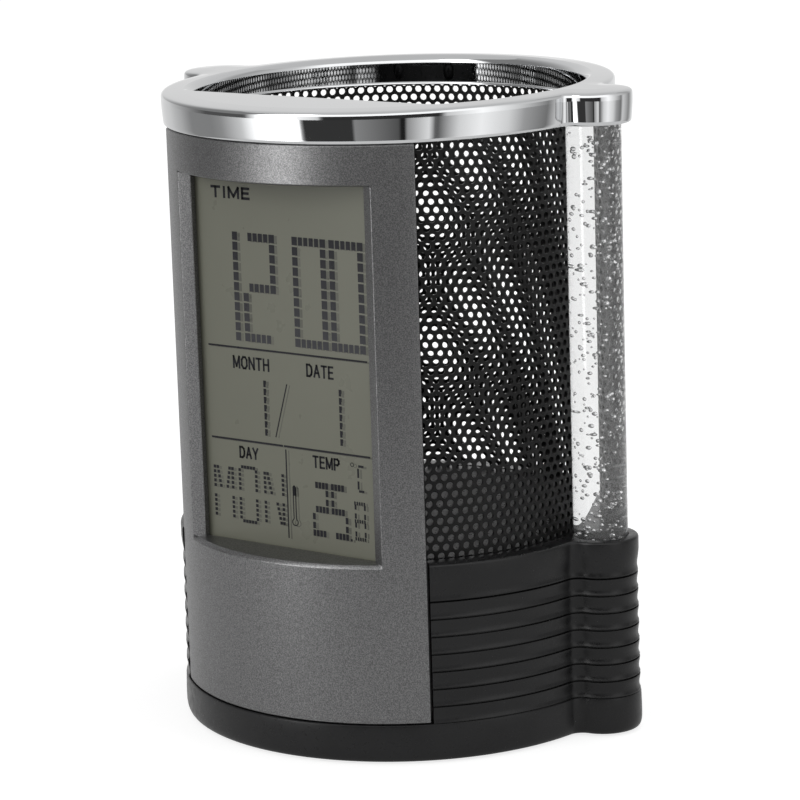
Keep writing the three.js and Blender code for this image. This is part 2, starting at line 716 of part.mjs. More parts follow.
function makeSleeve() {
  const startAngle = -90 + sleeveHalfGapAngle;
  const endAngle = 270 - sleeveHalfGapAngle;
  const bottomZ = deckZ - grooveDepth + fitGap;
  const topZ = housingTopZ + sleeveInRim;
  const netBottomZ = deckZ + sleeveMarginBottom;
  const netTopZ = housingTopZ + sleeveMarginTop;
  const rowHeight = (netTopZ - netBottomZ) / (sleeveRows + 1 / 3);
  const points = [];
  const numbers = new Map();
  const triangles = [];
  // Columns are counted in half pitches, heights in millimetres
  const point = (column, z) => {
    const key = `${column.toFixed(4)} ${z.toFixed(4)}`;
    if (!numbers.has(key)) {
      numbers.set(key, points.length);
      points.push([column, z]);
    }
    return numbers.get(key);
  };
  const face = (...corners) => {
    const ids = corners.map(([column, z]) => point(column, z));
    for (let i = 1; i + 1 < ids.length; i++) {
      triangles.push([ids[0], ids[i], ids[i + 1]]);
    }
  };
  const rowZ = (row) => netBottomZ + rowHeight * (row + 2 / 3);
  for (let row = 0; row < sleeveRows; row++) {
    const odd = row % 2;
    for (let hole = 0; hole < sleeveColumns - odd; hole++) {
      const column = 2 * hole + 1 + odd;
      const z = rowZ(row);
      const rim = [
        [0, -2 / 3], [1, -1 / 3], [1, 1 / 3], [0, 2 / 3], [-1, 1 / 3], [-1, -1 / 3],
      ];
      for (let i = 0; i < rim.length; i++) {
        const [u, v] = rim[i];
        const [nextU, nextV] = rim[(i + 1) % rim.length];
        face(
          [column + u, z + v * rowHeight],
          [column + nextU, z + nextV * rowHeight],
          [column + nextU * holeShare, z + nextV * holeShare * rowHeight],
          [column + u * holeShare, z + v * holeShare * rowHeight],
        );
      }
    }
    if (odd) {
      const z = rowZ(row);
      const low = z - rowHeight * 2 / 3;
      const high = z + rowHeight * 2 / 3;
      const inLow = z - rowHeight / 3;
      const inHigh = z + rowHeight / 3;
      const last = 2 * sleeveColumns;
      face([0, low], [1, inLow], [1, inHigh], [0, high]);
      face([last, high], [last - 1, inHigh], [last - 1, inLow], [last, low]);
    }
  }
  const lowest = rowZ(0);
  const highest = rowZ(sleeveRows - 1);
  for (let column = 0; column < 2 * sleeveColumns; column++) {
    const dip = (at) => rowHeight * (at % 2 === 1 ? 2 / 3 : 1 / 3);
    face([column, bottomZ], [column + 1, bottomZ], [column + 1, lowest - dip(column + 1)],
      [column, lowest - dip(column)]);
    face([column, highest + dip(column)], [column + 1, highest + dip(column + 1)], [column + 1, topZ],
      [column, topZ]);
  }
  const geometry = thickSheet(points, triangles, ([column, z], depth) => {
    const angle = degrees(startAngle + ((endAngle - startAngle) * column) / (2 * sleeveColumns));
    const radius = sleeveRadius - depth * sleeveThickness;
    return [radius * Math.cos(angle), radius * Math.sin(angle), z];
  });
  return toSolid(geometry);
}
addPiece("mesh_sleeve", makeSleeve(), blackMetal());

// Top rim: a chromed ring with a lobe over each rod and a D-shaped mouth
const rimLobeWall = 2.0;
const rimFillet = 1.6;
const rimWall = 1.2;
const mouthStep = 1.4;
const mouthLap = 0.6;
const mouthCornerRadius = 3.0;
const skirtWall = 0.6;
const skirtRise = 1.4;
const channelHeight = 3.7;
const mouthChamferWidth = 1.0;
const mouthChamferHeight = 0.8;
const rodInRim = 3.8;
const rimLean = 0.0175;
const rimProfile = [
  { rise: 0, inset: 0.5 }, { rise: 4.9, inset: 0.05 }, { rise: 5.3, inset: 0.25 },
  { rise: 5.55, inset: 1.0 }, { rise: 5.85, inset: 2.4 }, { rise: rimHeight, inset: 3.9 },
];

const rimLobeRadius = rodRadius + rimLobeWall;
const mouthRadius = sleeveRadius - mouthStep;
const mouthChordOffset = coverOffset - mouthLap;

// Lowers the rim's top towards the front, and leaves its underside level
function leaned(solid) {
  return solid.warp((point) => {
    point[2] += rimLean * point[1] * (point[2] - housingTopZ) / rimHeight;
  });
}

function makeRim() {
  const rings = rimProfile.map(({ rise, inset }) => {
    const half = lobedHalf(rimRadius, rimLobeRadius, rimFillet, inset, -90);
    half[0][0] = 0;
    return { z: housingTopZ + rise, outline: mirrored(half) };
  });
  const mouth = (grow) => mouthOutline(mouthRadius + grow, mouthChordOffset + grow, mouthCornerRadius + grow);
  const chamferBottomZ = rimTopZ - mouthChamferHeight;
  const chamferGrow = mouthChamferWidth * (1 + overrun / mouthChamferHeight);
  const chamfer = loft([
    { z: chamferBottomZ, outline: mouth(0) }, { z: rimTopZ + overrun, outline: mouth(chamferGrow) },
  ]);
  const mouthHole = raised(mouth(0), 0, rimTopZ + 2 * overrun);
  const channelRadius = housingRadius - rimWall;
  const channel = cut(
    uprightBar(0, 0, channelRadius, housingTopZ - overrun, housingTopZ + channelHeight, boreSides * 3),
    raised(mouth(skirtWall), housingTopZ + skirtRise, housingTopZ + channelHeight + overrun),
  );
  const bores = rods.map((x) => {
    return uprightBar(x, rodSetback, rodRadius + rodFit, housingTopZ - overrun,
      housingTopZ + rodInRim + fitGap);
  });
  return cut(leaned(loft(rings)), mouthHole, leaned(chamfer), channel, ...bores);
}
addPiece("top_rim", makeRim(), chrome());

// Clear rods, with the lamp and its small board under each
const lampRadius = 2.45;
const lampFlangeRadius = 2.9;
const lampFlangeHeight = 1.0;
const lampHeight = 7.0;
const lampDrop = 1.0;
const lampDomeSteps = 3;
const lampBoardRadius = 3.05;
const lampBoardThickness = 1.2;
const lampBottomZ = rodSeatZ - lampDrop - lampHeight;

function makeLamp() {
  const shoulderZ = lampHeight - lampRadius;
  const dome = arc(0, shoulderZ, lampRadius, 0, Math.PI / 2, lampDomeSteps);
  dome[lampDomeSteps][0] = 0;
  const profile = [
    [0, 0], [lampFlangeRadius, 0], [lampFlangeRadius, lampFlangeHeight], [lampRadius, lampFlangeHeight],
    ...dome,
  ];
  const geometry = new THREE.LatheGeometry(profile.map(([r, z]) => new THREE.Vector2(r, z)), smallSides);
  geometry.rotateX(Math.PI / 2);
  return geometry;
}
["left", "right"].forEach((side, i) => {
  const x = rods[i];
  addPiece(`${side}_rod`, uprightBar(x, rodSetback, rodRadius, rodSeatZ + seam, housingTopZ + rodInRim),
    acrylic());
  const lamp = makeLamp();
  lamp.translate(x, rodSetback, lampBottomZ);
  addPiece(`${side}_lamp`, toSolid(lamp), whitePlastic());
  addPiece(`${side}_lamp_board`, uprightBar(x, rodSetback, lampBoardRadius,
    lampBottomZ - seam - lampBoardThickness, lampBottomZ - seam, smallSides), circuitBoard());
});

// Bottom tray: the plinth, the battery pocket and the runners of the battery door
const plinthLobeWall = 2.0;
const plinthFillet = 2.0;
const plinthWall = 2.4;
const tongueThickness = 0.65;
const tongueReach = 1.6;
const doorHalfWidth = 11.6;
const doorFrontMargin = 1.9;
const footRadius = 4.0;
const footHeight = 1.4;
const footShares = { front: [0.66, -0.43], back: [0.7, 0.35] };
const plinthProfile = [
  { rise: 0, inset: 0.8 }, { rise: 0.4, inset: 0.3 }, { rise: 1.2, inset: 0.05 }, { rise: 2.2, inset: 0 },
  { rise: plinthHeight, inset: 0.1 },
];
const pocketHalfWidth = 2 * cellRadius + 1.5 * fitGap;
const pocketOuterHalfWidth = pocketHalfWidth + pocketWall;
const pocketRoom = Math.sqrt((baseRadius - baseWall) ** 2 - pocketOuterHalfWidth ** 2);
const pocketBackY = pocketRoom - pocketWall - pocketSetIn;
const cellBackY = pocketBackY - contactThickness - 2 * fitGap;
const cellFrontY = cellBackY - cellLength - cellNoseLength;
const pocketFrontY = cellFrontY - springRoom - fitGap;
const doorFrontY = pocketFrontY - doorFrontMargin;
const cellX = cellRadius + fitGap / 2;
const plinthLobeRadius = rodRadius + plinthLobeWall;

function plinthOutline(inset) {
  const half = lobedHalf(plinthRadius, plinthLobeRadius, plinthFillet, inset, -90);
  half[0][0] = 0;
  return mirrored(half);
}
const plinthBody = loft(plinthProfile.map(({ rise, inset }) => {
  return { z: plinthBottomZ + rise, outline: plinthOutline(inset) };
}));
const feet = ["front", "back"].flatMap((end) => ["left", "right"].map((side) => {
  const [shareX, shareY] = footShares[end];
  const way = side === "left" ? -1 : 1;
  return [`${end}_${side}_foot`, way * shareX * plinthRadius, shareY * plinthRadius];
}));

function makeTray() {
  const hollow = raised(plinthOutline(plinthWall), floorTopZ, plinthTopZ + overrun);
  const pocketBlock = block(-pocketOuterHalfWidth, pocketOuterHalfWidth, pocketFrontY - pocketWall,
    pocketBackY + pocketWall, floorTopZ - overrun, pocketRoofZ);
  const pocket = block(-pocketHalfWidth, pocketHalfWidth, pocketFrontY, pocketBackY, 0, pocketTopZ);
  const farY = plinthRadius + overrun;
  const doorGap = runningGap;
  const opening = block(-doorHalfWidth - doorGap, doorHalfWidth + doorGap, doorFrontY - doorGap, farY,
    0, doorTopZ - tongueThickness - doorGap + seam);
  const runner = block(-doorHalfWidth - tongueReach - doorGap, doorHalfWidth + tongueReach + doorGap,
    doorFrontY - doorGap, farY, doorTopZ - tongueThickness - doorGap, doorTopZ + doorGap);
  const footSinks = feet.map(([name, x, y]) => {
    return uprightBar(x, y, footRadius + fitGap, 0, footHeight + seam, boreSides);
  });
  const screwHoles = [...baseScrews, ...frontScrews].flatMap(([x, y]) => [
    uprightBar(x, y, pilotRadius, 0, plinthTopZ, smallSides),
    uprightBar(x, y, headSinkRadius, 0, plinthBottomZ + headSinkDepth + fitGap, smallSides),
  ]);
  const body = join(cut(plinthBody, hollow), pocketBlock);
  return cut(body, pocket, opening, runner, ...footSinks, ...screwHoles);
}
addPiece("bottom_tray", makeTray(), blackPlastic());

feet.forEach(([name, x, y]) => {
  addPiece(name, uprightBar(x, y, footRadius, 0, footHeight, boreSides), rubber());
});

const trayScrewLength = 8.0;
[...baseScrews, ...frontScrews].forEach(([x, y], i) => {
  const screw = makeScrew(trayScrewLength);
  screw.rotateX(Math.PI);
  screw.translate(x, y, plinthBottomZ + headSinkDepth + fitGap - seam);
  addPiece(`tray_screw_${i + 1}`, toSolid(screw), steel());
});

// Battery door: a plate with a tongue at each side, its back end flush with the plinth
const gripCount = 5;
const gripPitch = 2.2;
const gripWidth = 1.0;
const gripDepth = 0.4;
const gripHalfLength = 6.0;
const gripBackMargin = 5.0;

function makeBatteryDoor() {
  const plate = block(-doorHalfWidth, doorHalfWidth, doorFrontY, plinthRadius, doorBottomZ, doorTopZ);
  const tongues = block(-doorHalfWidth - tongueReach, doorHalfWidth + tongueReach, doorFrontY, plinthRadius,
    doorTopZ - tongueThickness, doorTopZ);
  const grips = Array.from({ length: gripCount }, (unused, i) => {
    const y = plinthRadius - gripBackMargin - i * gripPitch;
    return block(-gripHalfLength, gripHalfLength, y - gripWidth, y, 0, doorBottomZ + gripDepth);
  });
  return cut(join(plate, tongues).intersect(plinthBody), ...grips);
}
addPiece("battery_door", makeBatteryDoor(), blackPlastic());

// Cells side by side, their link contact in front and an end contact each behind
function makeCell() {
  const edge = fitGap;
  const profile = [
    [0, 0], [cellRadius - edge, 0], [cellRadius, edge], [cellRadius, cellLength - edge],
    [cellRadius - edge, cellLength], [cellNoseRadius, cellLength],
    [cellNoseRadius, cellLength + cellNoseLength], [0, cellLength + cellNoseLength],
  ];
  return new THREE.LatheGeometry(profile.map(([r, y]) => new THREE.Vector2(r, y)), boreSides);
}
[-1, 1].forEach((side, i) => {
  const cell = makeCell();
  if (side < 0) {
    cell.rotateX(Math.PI);
    cell.translate(0, cellLength + cellNoseLength, 0);
  }
  cell.translate(side * cellX, cellFrontY, cellZ);
  addPiece(`cell_${i + 1}`, toSolid(cell), cellWrap());
});

const contactHalfWidth = 3.6;
const contactHalfHeight = 3.8;
const leafHalfWidth = 1.6;
const leafHalfSpan = 3.2;
const leafThickness = 0.3;
const leafSteps = 8;
function makeLinkContact() {
  const plateY = pocketFrontY + fitGap;
  const plate = block(-cellX - contactHalfWidth, cellX + contactHalfWidth, plateY, plateY + contactThickness,
    cellZ - contactHalfHeight, cellZ + contactHalfHeight);
  const leaves = [-1, 1].map((side) => {
    const height = cellFrontY - fitGap - plateY - contactThickness / 2;
    const radius = (leafHalfSpan ** 2 + height ** 2) / (2 * height);
    const centreY = plateY + contactThickness / 2 + height - radius;
    const half = Math.asin(leafHalfSpan / radius);
    const outer = arc(side * cellX, centreY, radius, Math.PI / 2 - half, Math.PI / 2 + half, leafSteps);
    const inner = arc(side * cellX, centreY, radius - leafThickness, Math.PI / 2 + half,
      Math.PI / 2 - half, leafSteps);
    return raised([...outer, ...inner], cellZ - leafHalfWidth, cellZ + leafHalfWidth);
  });
  return join(plate, ...leaves);
}
addPiece("link_contact", makeLinkContact(), steel());
["plus_contact", "minus_contact"].forEach((name, i) => {
  const x = rods[i] < 0 ? cellX : -cellX;
  const y = pocketBackY - fitGap - contactThickness;
  addPiece(name, block(x - contactHalfWidth, x + contactHalfWidth, y, y + contactThickness,
    cellZ - contactHalfHeight, cellZ + contactHalfHeight), steel());
});

// Control board behind the key panel, with a push switch for each key and a slide switch
const controlHalfWidth = 16.5;
const controlEndGap = 0.5;
const switchHalfSize = 2.2;
const switchHeight = 1.8;
const plungerRadius = 1.2;
const plungerHeight = 0.4;
const keyTravel = 0.6;
const keyFlangeRadius = 3.2;
const keyFlangeThickness = 0.7;
const keyProud = 1.2;
const keyEdge = 0.4;
const keyNames = ["mode", "set", "down", "up"];
const switchFaceY = controlBoardFaceY + seam + switchHeight;
const keyInnerY = switchFaceY + plungerHeight + seam + keyTravel;
const controlBottomZ = pocketRoofZ + controlEndGap;
const controlTopZ = undersideZ - controlEndGap;

function makeControlBoard() {
  const board = block(-controlHalfWidth, controlHalfWidth, controlBoardOffset, controlBoardFaceY,
    controlBottomZ, controlTopZ);
  const holes = [-1, 1].map((side) => {
    return levelBar(side * controlBossX, sliderZ, pilotRadius, controlBoardOffset - overrun,
      controlBoardFaceY + overrun);
  });
  return cut(board, ...holes);
}
addPiece("control_board", makeControlBoard(), circuitBoard());

const controlScrewLength = 4.5;
[-1, 1].forEach((side, i) => {
  const screw = makeScrew(controlScrewLength);
  screw.rotateX(Math.PI / 2);
  screw.translate(side * controlBossX, controlBoardOffset - seam, sliderZ);
  addPiece(`control_screw_${i + 1}`, toSolid(screw), steel());
});

keyShares.forEach((share, i) => {
  const x = share * keyPitch;
  const body = block(x - switchHalfSize, x + switchHalfSize, controlBoardFaceY + seam, switchFaceY,
    keyZ - switchHalfSize, keyZ + switchHalfSize);
  const plunger = levelBar(x, keyZ, plungerRadius, switchFaceY - seam, switchFaceY + plungerHeight);
  addPiece(`${keyNames[i]}_switch`, join(body, plunger), steel());
  const outerY = panelOffset + keyProud;
  const profile = [
    [0, keyInnerY], [keyFlangeRadius, keyInnerY], [keyFlangeRadius, keyInnerY + keyFlangeThickness],
    [keyRadius, keyInnerY + keyFlangeThickness], [keyRadius, outerY - keyEdge],
    [keyRadius - keyEdge, outerY], [0, outerY],
  ];
  const key = new THREE.LatheGeometry(profile.map(([r, y]) => new THREE.Vector2(r, y)), keySides);
  key.translate(x, 0, keyZ);
  addPiece(`${keyNames[i]}_key`, toSolid(key), blackPlastic());
});

// Lamp switch: a case on the board and a knob that slides along the slot
const caseHalfWidth = 5.2;
const caseHalfHeight = 2.0;
const caseHeight = 2.8;
const sliderFlangeHalfWidth = 4.6;
const sliderFlangeHalfHeight = 1.9;
const sliderFlangeThickness = 0.5;
const sliderProud = 1.3;
const sliderX = -sliderTravel / 2;
const caseFaceY = controlBoardFaceY + seam + caseHeight;
addPiece("lamp_switch_case", block(-caseHalfWidth, caseHalfWidth, controlBoardFaceY + seam, caseFaceY,
  sliderZ - caseHalfHeight, sliderZ + caseHalfHeight), steel());

function makeLampKnob() {
  const innerY = caseFaceY + runningGap;
  const flange = block(sliderX - sliderFlangeHalfWidth, sliderX + sliderFlangeHalfWidth, innerY,
    innerY + sliderFlangeThickness, sliderZ - sliderFlangeHalfHeight, sliderZ + sliderFlangeHalfHeight);
  const knob = block(sliderX - sliderHalfWidth, sliderX + sliderHalfWidth, innerY,
    panelOffset + sliderProud, sliderZ - sliderHalfWidth, sliderZ + sliderHalfWidth);
  return join(flange, knob);
}
addPiece("lamp_knob", makeLampKnob(), blackPlastic());

export default clock;
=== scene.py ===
from math import acos, asin, atan2, cos, degrees, hypot, pi, radians, sin, sqrt, tau
import random

import bmesh
import bpy
from mathutils import Matrix, Vector


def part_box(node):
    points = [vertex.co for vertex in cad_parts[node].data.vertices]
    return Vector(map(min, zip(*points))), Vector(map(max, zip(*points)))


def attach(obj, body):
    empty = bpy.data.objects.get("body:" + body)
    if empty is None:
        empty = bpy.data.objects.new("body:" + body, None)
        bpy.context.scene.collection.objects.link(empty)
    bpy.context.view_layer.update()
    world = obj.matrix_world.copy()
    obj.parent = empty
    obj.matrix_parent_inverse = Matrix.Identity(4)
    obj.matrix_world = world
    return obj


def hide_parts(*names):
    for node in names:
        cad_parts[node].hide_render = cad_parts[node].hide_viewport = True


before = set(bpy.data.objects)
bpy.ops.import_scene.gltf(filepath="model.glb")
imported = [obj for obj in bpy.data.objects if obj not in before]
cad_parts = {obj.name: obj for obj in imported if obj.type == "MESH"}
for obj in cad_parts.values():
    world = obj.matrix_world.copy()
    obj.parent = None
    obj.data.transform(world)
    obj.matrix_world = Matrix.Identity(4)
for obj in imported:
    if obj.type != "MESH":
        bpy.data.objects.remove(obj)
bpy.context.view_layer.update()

# Shapes are made in millimetres and put in place in metres
MM = 0.001


def corners(node):
    low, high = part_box(node)
    return [v / MM for v in low], [v / MM for v in high]


def centre_of(node):
    low, high = corners(node)
    return [(a + b) / 2 for a, b in zip(low, high)]


# Levels and reaches, taken from the solids that carry them
PLINTH_LOW = corners("bottom_tray")[0][2]
HOUSING_LOW, HOUSING_HIGH = (corner[2] for corner in corners("front_housing"))
DECK = corners("base_shell")[1][2]
SLEEVE_LOW, SLEEVE_HIGH = (corner[2] for corner in corners("mesh_sleeve"))
ROD_LOW, ROD_HIGH = (corner[2] for corner in corners("right_rod"))
GLASS_FRONT = corners("display_glass")[0][1]
COVER_BACK = corners("rear_cover")[1][1]
SIDE_WALL_BACK = corners("front_housing")[1][1]

SEAM = 0.1
PLINTH_HIGH = HOUSING_LOW - SEAM
HOUSING_TOP = HOUSING_HIGH + SEAM

# Plan of the object: radii, and the place of the right rod. A PLAN below is the radii of an outline, of its
# lobe about the rod and of the fillets between them
HOUSING_RADIUS = 39.0
HOUSING_INNER_RADIUS = 37.2
BASE_RADIUS = 39.2
PLINTH_RADIUS = 39.5
SLEEVE_RADIUS = 35.44
MOUTH_RADIUS = 34.04
ROD_X = 40.1
ROD_Y = 3.3
ROD_RADIUS = 4.7
HOUSING_HALF_ANGLE = 42.4
BASE_EDGE_ANGLE = 43.1
SLEEVE_HALF_GAP = degrees(acos(-corners("mesh_sleeve")[0][1] / SLEEVE_RADIUS))

# Steps of the fine outlines
MAIN_STEPS = 56
LOBE_STEPS = 32
FILLET_STEPS = 10
ROUND_SIDES = 48


# ---- Mesh helpers

def add_to_scene(name, data):
    thing = bpy.data.objects.new(name, data)
    bpy.context.scene.collection.objects.link(thing)
    return thing


def add_object(name, verts, faces):
    mesh = bpy.data.meshes.new(name)
    mesh.from_pydata(verts, [], faces)
    mesh.update()
    return add_to_scene(name, mesh)


# Applies a modifier with the given settings
def modify(piece, kind, **settings):
    modifier = piece.modifiers.new(kind, kind)
    for key, value in settings.items():
        setattr(modifier, key, value)
    graph = bpy.context.evaluated_depsgraph_get()
    mesh = bpy.data.meshes.new_from_object(piece.evaluated_get(graph), depsgraph=graph)
    piece.modifiers.clear()
    old = piece.data
    piece.data = mesh
    bpy.data.meshes.remove(old)


def combine(operation, piece, tools):
    for tool in tools:
        modify(piece, "BOOLEAN", operation=operation, solver="EXACT", object=tool)
        bpy.data.objects.remove(tool)


def cut(piece, *tools):
    combine("DIFFERENCE", piece, tools)


def join(piece, *tools):
    combine("UNION", piece, tools)


def keep_within(piece, *tools):
    combine("INTERSECT", piece, tools)


def round_edges(piece, width, angle):
    modify(piece, "BEVEL", width=width, segments=2, limit_method="ANGLE", angle_limit=radians(angle),
           use_clamp_overlap=False, miter_outer="MITER_ARC")


def arc(centre_x, centre_y, radius, start, end, steps):
    turn = [start + (end - start) * step / steps for step in range(steps + 1)]
    return [(centre_x + radius * cos(t), centre_y + radius * sin(t)) for t in turn]


def circle(x, y, radius, sides=ROUND_SIDES):
    return arc(x, y, radius, 0.0, tau, sides)[:-1]


def rectangle(x0, x1, y0, y1):
    return [(x0, y0), (x1, y0), (x1, y1), (x0, y1)]


# The faces between rings of equal point count, from the lowest up
def tube_faces(rings, count):
    faces = []
    for low in range(0, (rings - 1) * count, count):
        for i in range(count):
            j = (i + 1) % count
            faces.append((low + i, low + j, low + j + count, low + i + count))
    return faces


# A solid over level rings of equal point count, each (z, outline), from the lowest up
def loft(name, rings):
    count = len(rings[0][1])
    verts = [(x, y, z) for z, outline in rings for x, y in outline]
    faces = tube_faces(len(rings), count)
    faces.append(tuple(reversed(range(count))))
    faces.append(tuple(range(len(verts) - count, len(verts))))
    return add_object(name, verts, faces)


def raised(name, outline, low, high):
    return loft(name, [(low, outline), (high, outline)])


def block(x0, x1, y0, y1, z0, z1):
    return raised("block", rectangle(x0, x1, y0, y1), z0, z1)


# A block that reaches as far to the left as to the right
def wide_block(half, y0, y1, z0, z1):
    return block(-half, half, y0, y1, z0, z1)


def upright_bar(x, y, radius, low, high, sides=ROUND_SIDES):
    return raised("bar", circle(x, y, radius, sides), low, high)


# An upright bar about each rod's axis
def rod_bars(radius, low, high):
    return [upright_bar(side * ROD_X, ROD_Y, radius, low, high) for side in (-1, 1)]


# A round bar that lies from front to back
def level_bar(x, z, radius, front, back):
    bar = raised("bar", circle(0.0, 0.0, radius), -back, -front)
    bar.data.transform(Matrix.Translation((x, 0.0, z)) @ Matrix.Rotation(pi / 2, 4, "X"))
    return bar


# A closed profile of (radius, z), counter-clockwise, swept about Z between two angles in degrees
def sweep(name, profile, start, end, steps):
    count = len(profile)
    verts, faces = [], []
    for step in range(steps + 1):
        angle = radians(start + (end - start) * step / steps)
        verts += [(r * cos(angle), r * sin(angle), z) for r, z in profile]
    for first in range(0, steps * count, count):
        for i in range(count):
            a, b = first + i, first + (i + 1) % count
            faces.append((a, a + count, b + count, b))
    faces.append(tuple(range(count)))
    faces.append(tuple(steps * count + i for i in reversed(range(count))))
    return add_object(name, verts, faces)


# A profile of (radius, height) turned about Z, its ends on the axis, and then moved by the matrix
def turned(name, profile, matrix=Matrix.Identity(4), sides=ROUND_SIDES):
    rings = profile[1:-1]
    verts = [(x, y, height) for radius, height in rings for x, y in circle(0.0, 0.0, radius, sides)]
    count = len(verts)
    verts += [(0.0, 0.0, profile[0][1]), (0.0, 0.0, profile[-1][1])]
    faces = tube_faces(len(rings), sides)
    for i in range(sides):
        j = (i + 1) % sides
        faces.append((count, j, i))
        faces.append((count + 1, count - sides + i, count - sides + j))
    piece = add_object(name, verts, faces)
    piece.data.transform(matrix)
    return piece


# Finishes a piece: metres, material, shading and body, and hides the nodes that it stands for
def place(piece, name, material, slot, *nodes, body="clock", smooth=35.0, weighted=False):
    piece.name = name
    piece.data.name = name
    piece.data.transform(Matrix.Scale(MM, 4))
    piece.data.materials.append(material)
    piece.data.shade_smooth()
    piece.data.set_sharp_from_angle(angle=radians(smooth))
    if weighted:
        modify(piece, "WEIGHTED_NORMAL", keep_sharp=True, weight=80)
    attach(piece, body)
    if nodes:
        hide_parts(*nodes)


# ---- Outlines in plan

def mirrored(half):
    left = [(-x, y) for x, y in half if abs(x) > 1e-6]
    return half + left[::-1]


# The right half of a round outline with a lobe about the rod, from the front round to the back
def lobed_half(radius, lobe_radius, fillet_radius, inset, start_angle):
    main, lobe, fillet = radius - inset, lobe_radius - inset, fillet_radius + inset
    distance, bearing = hypot(ROD_X, ROD_Y), atan2(ROD_Y, ROD_X)
    reach = main + fillet
    spread = acos((reach**2 + distance**2 - (lobe + fillet)**2) / (2 * reach * distance))
    front, back = bearing - spread, bearing + spread
    front_x, front_y = reach * cos(front), reach * sin(front)
    back_x, back_y = reach * cos(back), reach * sin(back)
    to_front = atan2(front_y - ROD_Y, front_x - ROD_X)
    to_back = atan2(back_y - ROD_Y, back_x - ROD_X)
    outline = arc(0.0, 0.0, main, radians(start_angle), front, MAIN_STEPS)
    outline += arc(front_x, front_y, fillet, front + pi, to_front + pi, FILLET_STEPS)[1:]
    outline += arc(ROD_X, ROD_Y, lobe, to_front, to_back, LOBE_STEPS)[1:]
    outline += arc(back_x, back_y, fillet, to_back + pi, back + pi, FILLET_STEPS)[1:]
    return outline + arc(0.0, 0.0, main, back, pi / 2, MAIN_STEPS)[1:]


def lobed_outline(radius, lobe_radius, fillet_radius, inset):
    half = lobed_half(radius, lobe_radius, fillet_radius, inset, -90.0)
    half[0] = (0.0, half[0][1])
    half[-1] = (0.0, half[-1][1])
    return mirrored(half)


# A solid over lobed outlines, with (rise above the level, inset) steps
def lobed_solid(name, level, plan, steps):
    return loft(name, [(level + rise, lobed_outline(*plan, inset)) for rise, inset in steps])


# A circle cut off by a chord in front, with rounded corners
def mouth_outline(radius, chord_offset, corner_radius):
    corner_y = corner_radius - chord_offset
    corner_x = sqrt((radius - corner_radius) ** 2 - corner_y**2)
    bearing = atan2(corner_y, corner_x)
    half = [(0.0, -chord_offset)]
    half += arc(corner_x, corner_y, corner_radius, -pi / 2, bearing, FILLET_STEPS)
    half += arc(0.0, 0.0, radius, bearing, pi / 2, MAIN_STEPS)[1:]
    half[-1] = (0.0, radius)
    return mirrored(half)


# ---- Materials

SPECULAR = "Specular IOR Level"


def shader_of(material):
    return material.node_tree.nodes["Principled BSDF"]


# Sets inputs, by name or number, to values or to the sockets that feed them
def set_inputs(node, inputs):
    for key, value in inputs.items():
        if isinstance(value, bpy.types.NodeSocket):
            node.id_data.links.new(value, node.inputs[key])
        else:
            node.inputs[key].default_value = value


def add_node(tree, kind, inputs=None):
    node = tree.nodes.new(f"ShaderNode{kind}")
    set_inputs(node, inputs or {})
    return node


def calculate(tree, operation, first, second):
    node = add_node(tree, "Math", {0: first, 1: second})
    node.operation = operation
    return node.outputs[0]


def map_range(tree, value, from_low, from_high, to_low, to_high):
    node = add_node(tree, "MapRange", {"Value": value, "From Min": from_low, "From Max": from_high,
                                       "To Min": to_low, "To Max": to_high})
    return node.outputs["Result"]


# A color that runs through stops, each a position and a color
def ramp_color(tree, factor, stops):
    ramp = add_node(tree, "ValToRGB", {"Fac": factor})
    elements = ramp.color_ramp.elements
    while len(elements) < len(stops):
        elements.new(1.0)
    for element, (position, color) in zip(elements, stops):
        element.position = position
        element.color = (*color, 1.0)
    return ramp.outputs["Color"]


def object_place(tree):
    return add_node(tree, "TexCoord").outputs["Object"]


def object_axes(tree):
    return add_node(tree, "SeparateXYZ", {"Vector": object_place(tree)}).outputs


def noise(tree, scale, detail, stretch=(1.0, 1.0, 1.0)):
    mapping = add_node(tree, "Mapping", {"Vector": object_place(tree), "Scale": stretch})
    texture = add_node(tree, "TexNoise", {"Vector": mapping.outputs["Vector"], "Scale": scale,
                                          "Detail": detail})
    return texture.outputs["Fac"]


def new_material(name, color, roughness, inputs=None):
    material = bpy.data.materials.new(name)
    material.use_nodes = True
    set_inputs(shader_of(material), {"Base Color": (*color, 1.0), "Roughness": roughness, **(inputs or {})})
    return material


def vary_color(material, scale, dark, light, detail=3.0, low=0.35, high=0.65):
    tree = material.node_tree
    color = ramp_color(tree, noise(tree, scale, detail), [(low, dark), (high, light)])
    set_inputs(shader_of(material), {"Base Color": color})


def vary_roughness(material, scale, low, high):
    tree = material.node_tree
    roughness = map_range(tree, noise(tree, scale, 3.0), 0.3, 0.7, low, high)
    set_inputs(shader_of(material), {"Roughness": roughness})


# A bump whose height is in metres
def add_bump(material, scale, height, strength, stretch=(1.0, 1.0, 1.0)):
    tree = material.node_tree
    bump = add_node(tree, "Bump", {"Height": noise(tree, scale, 2.0, stretch), "Distance": height,
                                   "Strength": strength})
    set_inputs(shader_of(material), {"Normal": bump.outputs["Normal"]})


# A material whose color, roughness and surface vary with noise
def finish(name, color, roughness, inputs, tint, wear, bump):
    material = new_material(name, color, roughness, inputs)
    vary_color(material, *tint)
    vary_roughness(material, *wear)
    add_bump(material, *bump)
    return material


def moulded(name, color, roughness, specular=0.3):
    tint = (120.0, [c * 0.85 for c in color], [c * 1.2 for c in color])
    return finish(name, color, roughness, {SPECULAR: specular}, tint,
                  (900.0, roughness - 0.05, roughness + 0.07), (5200.0, 0.00002, 0.25))


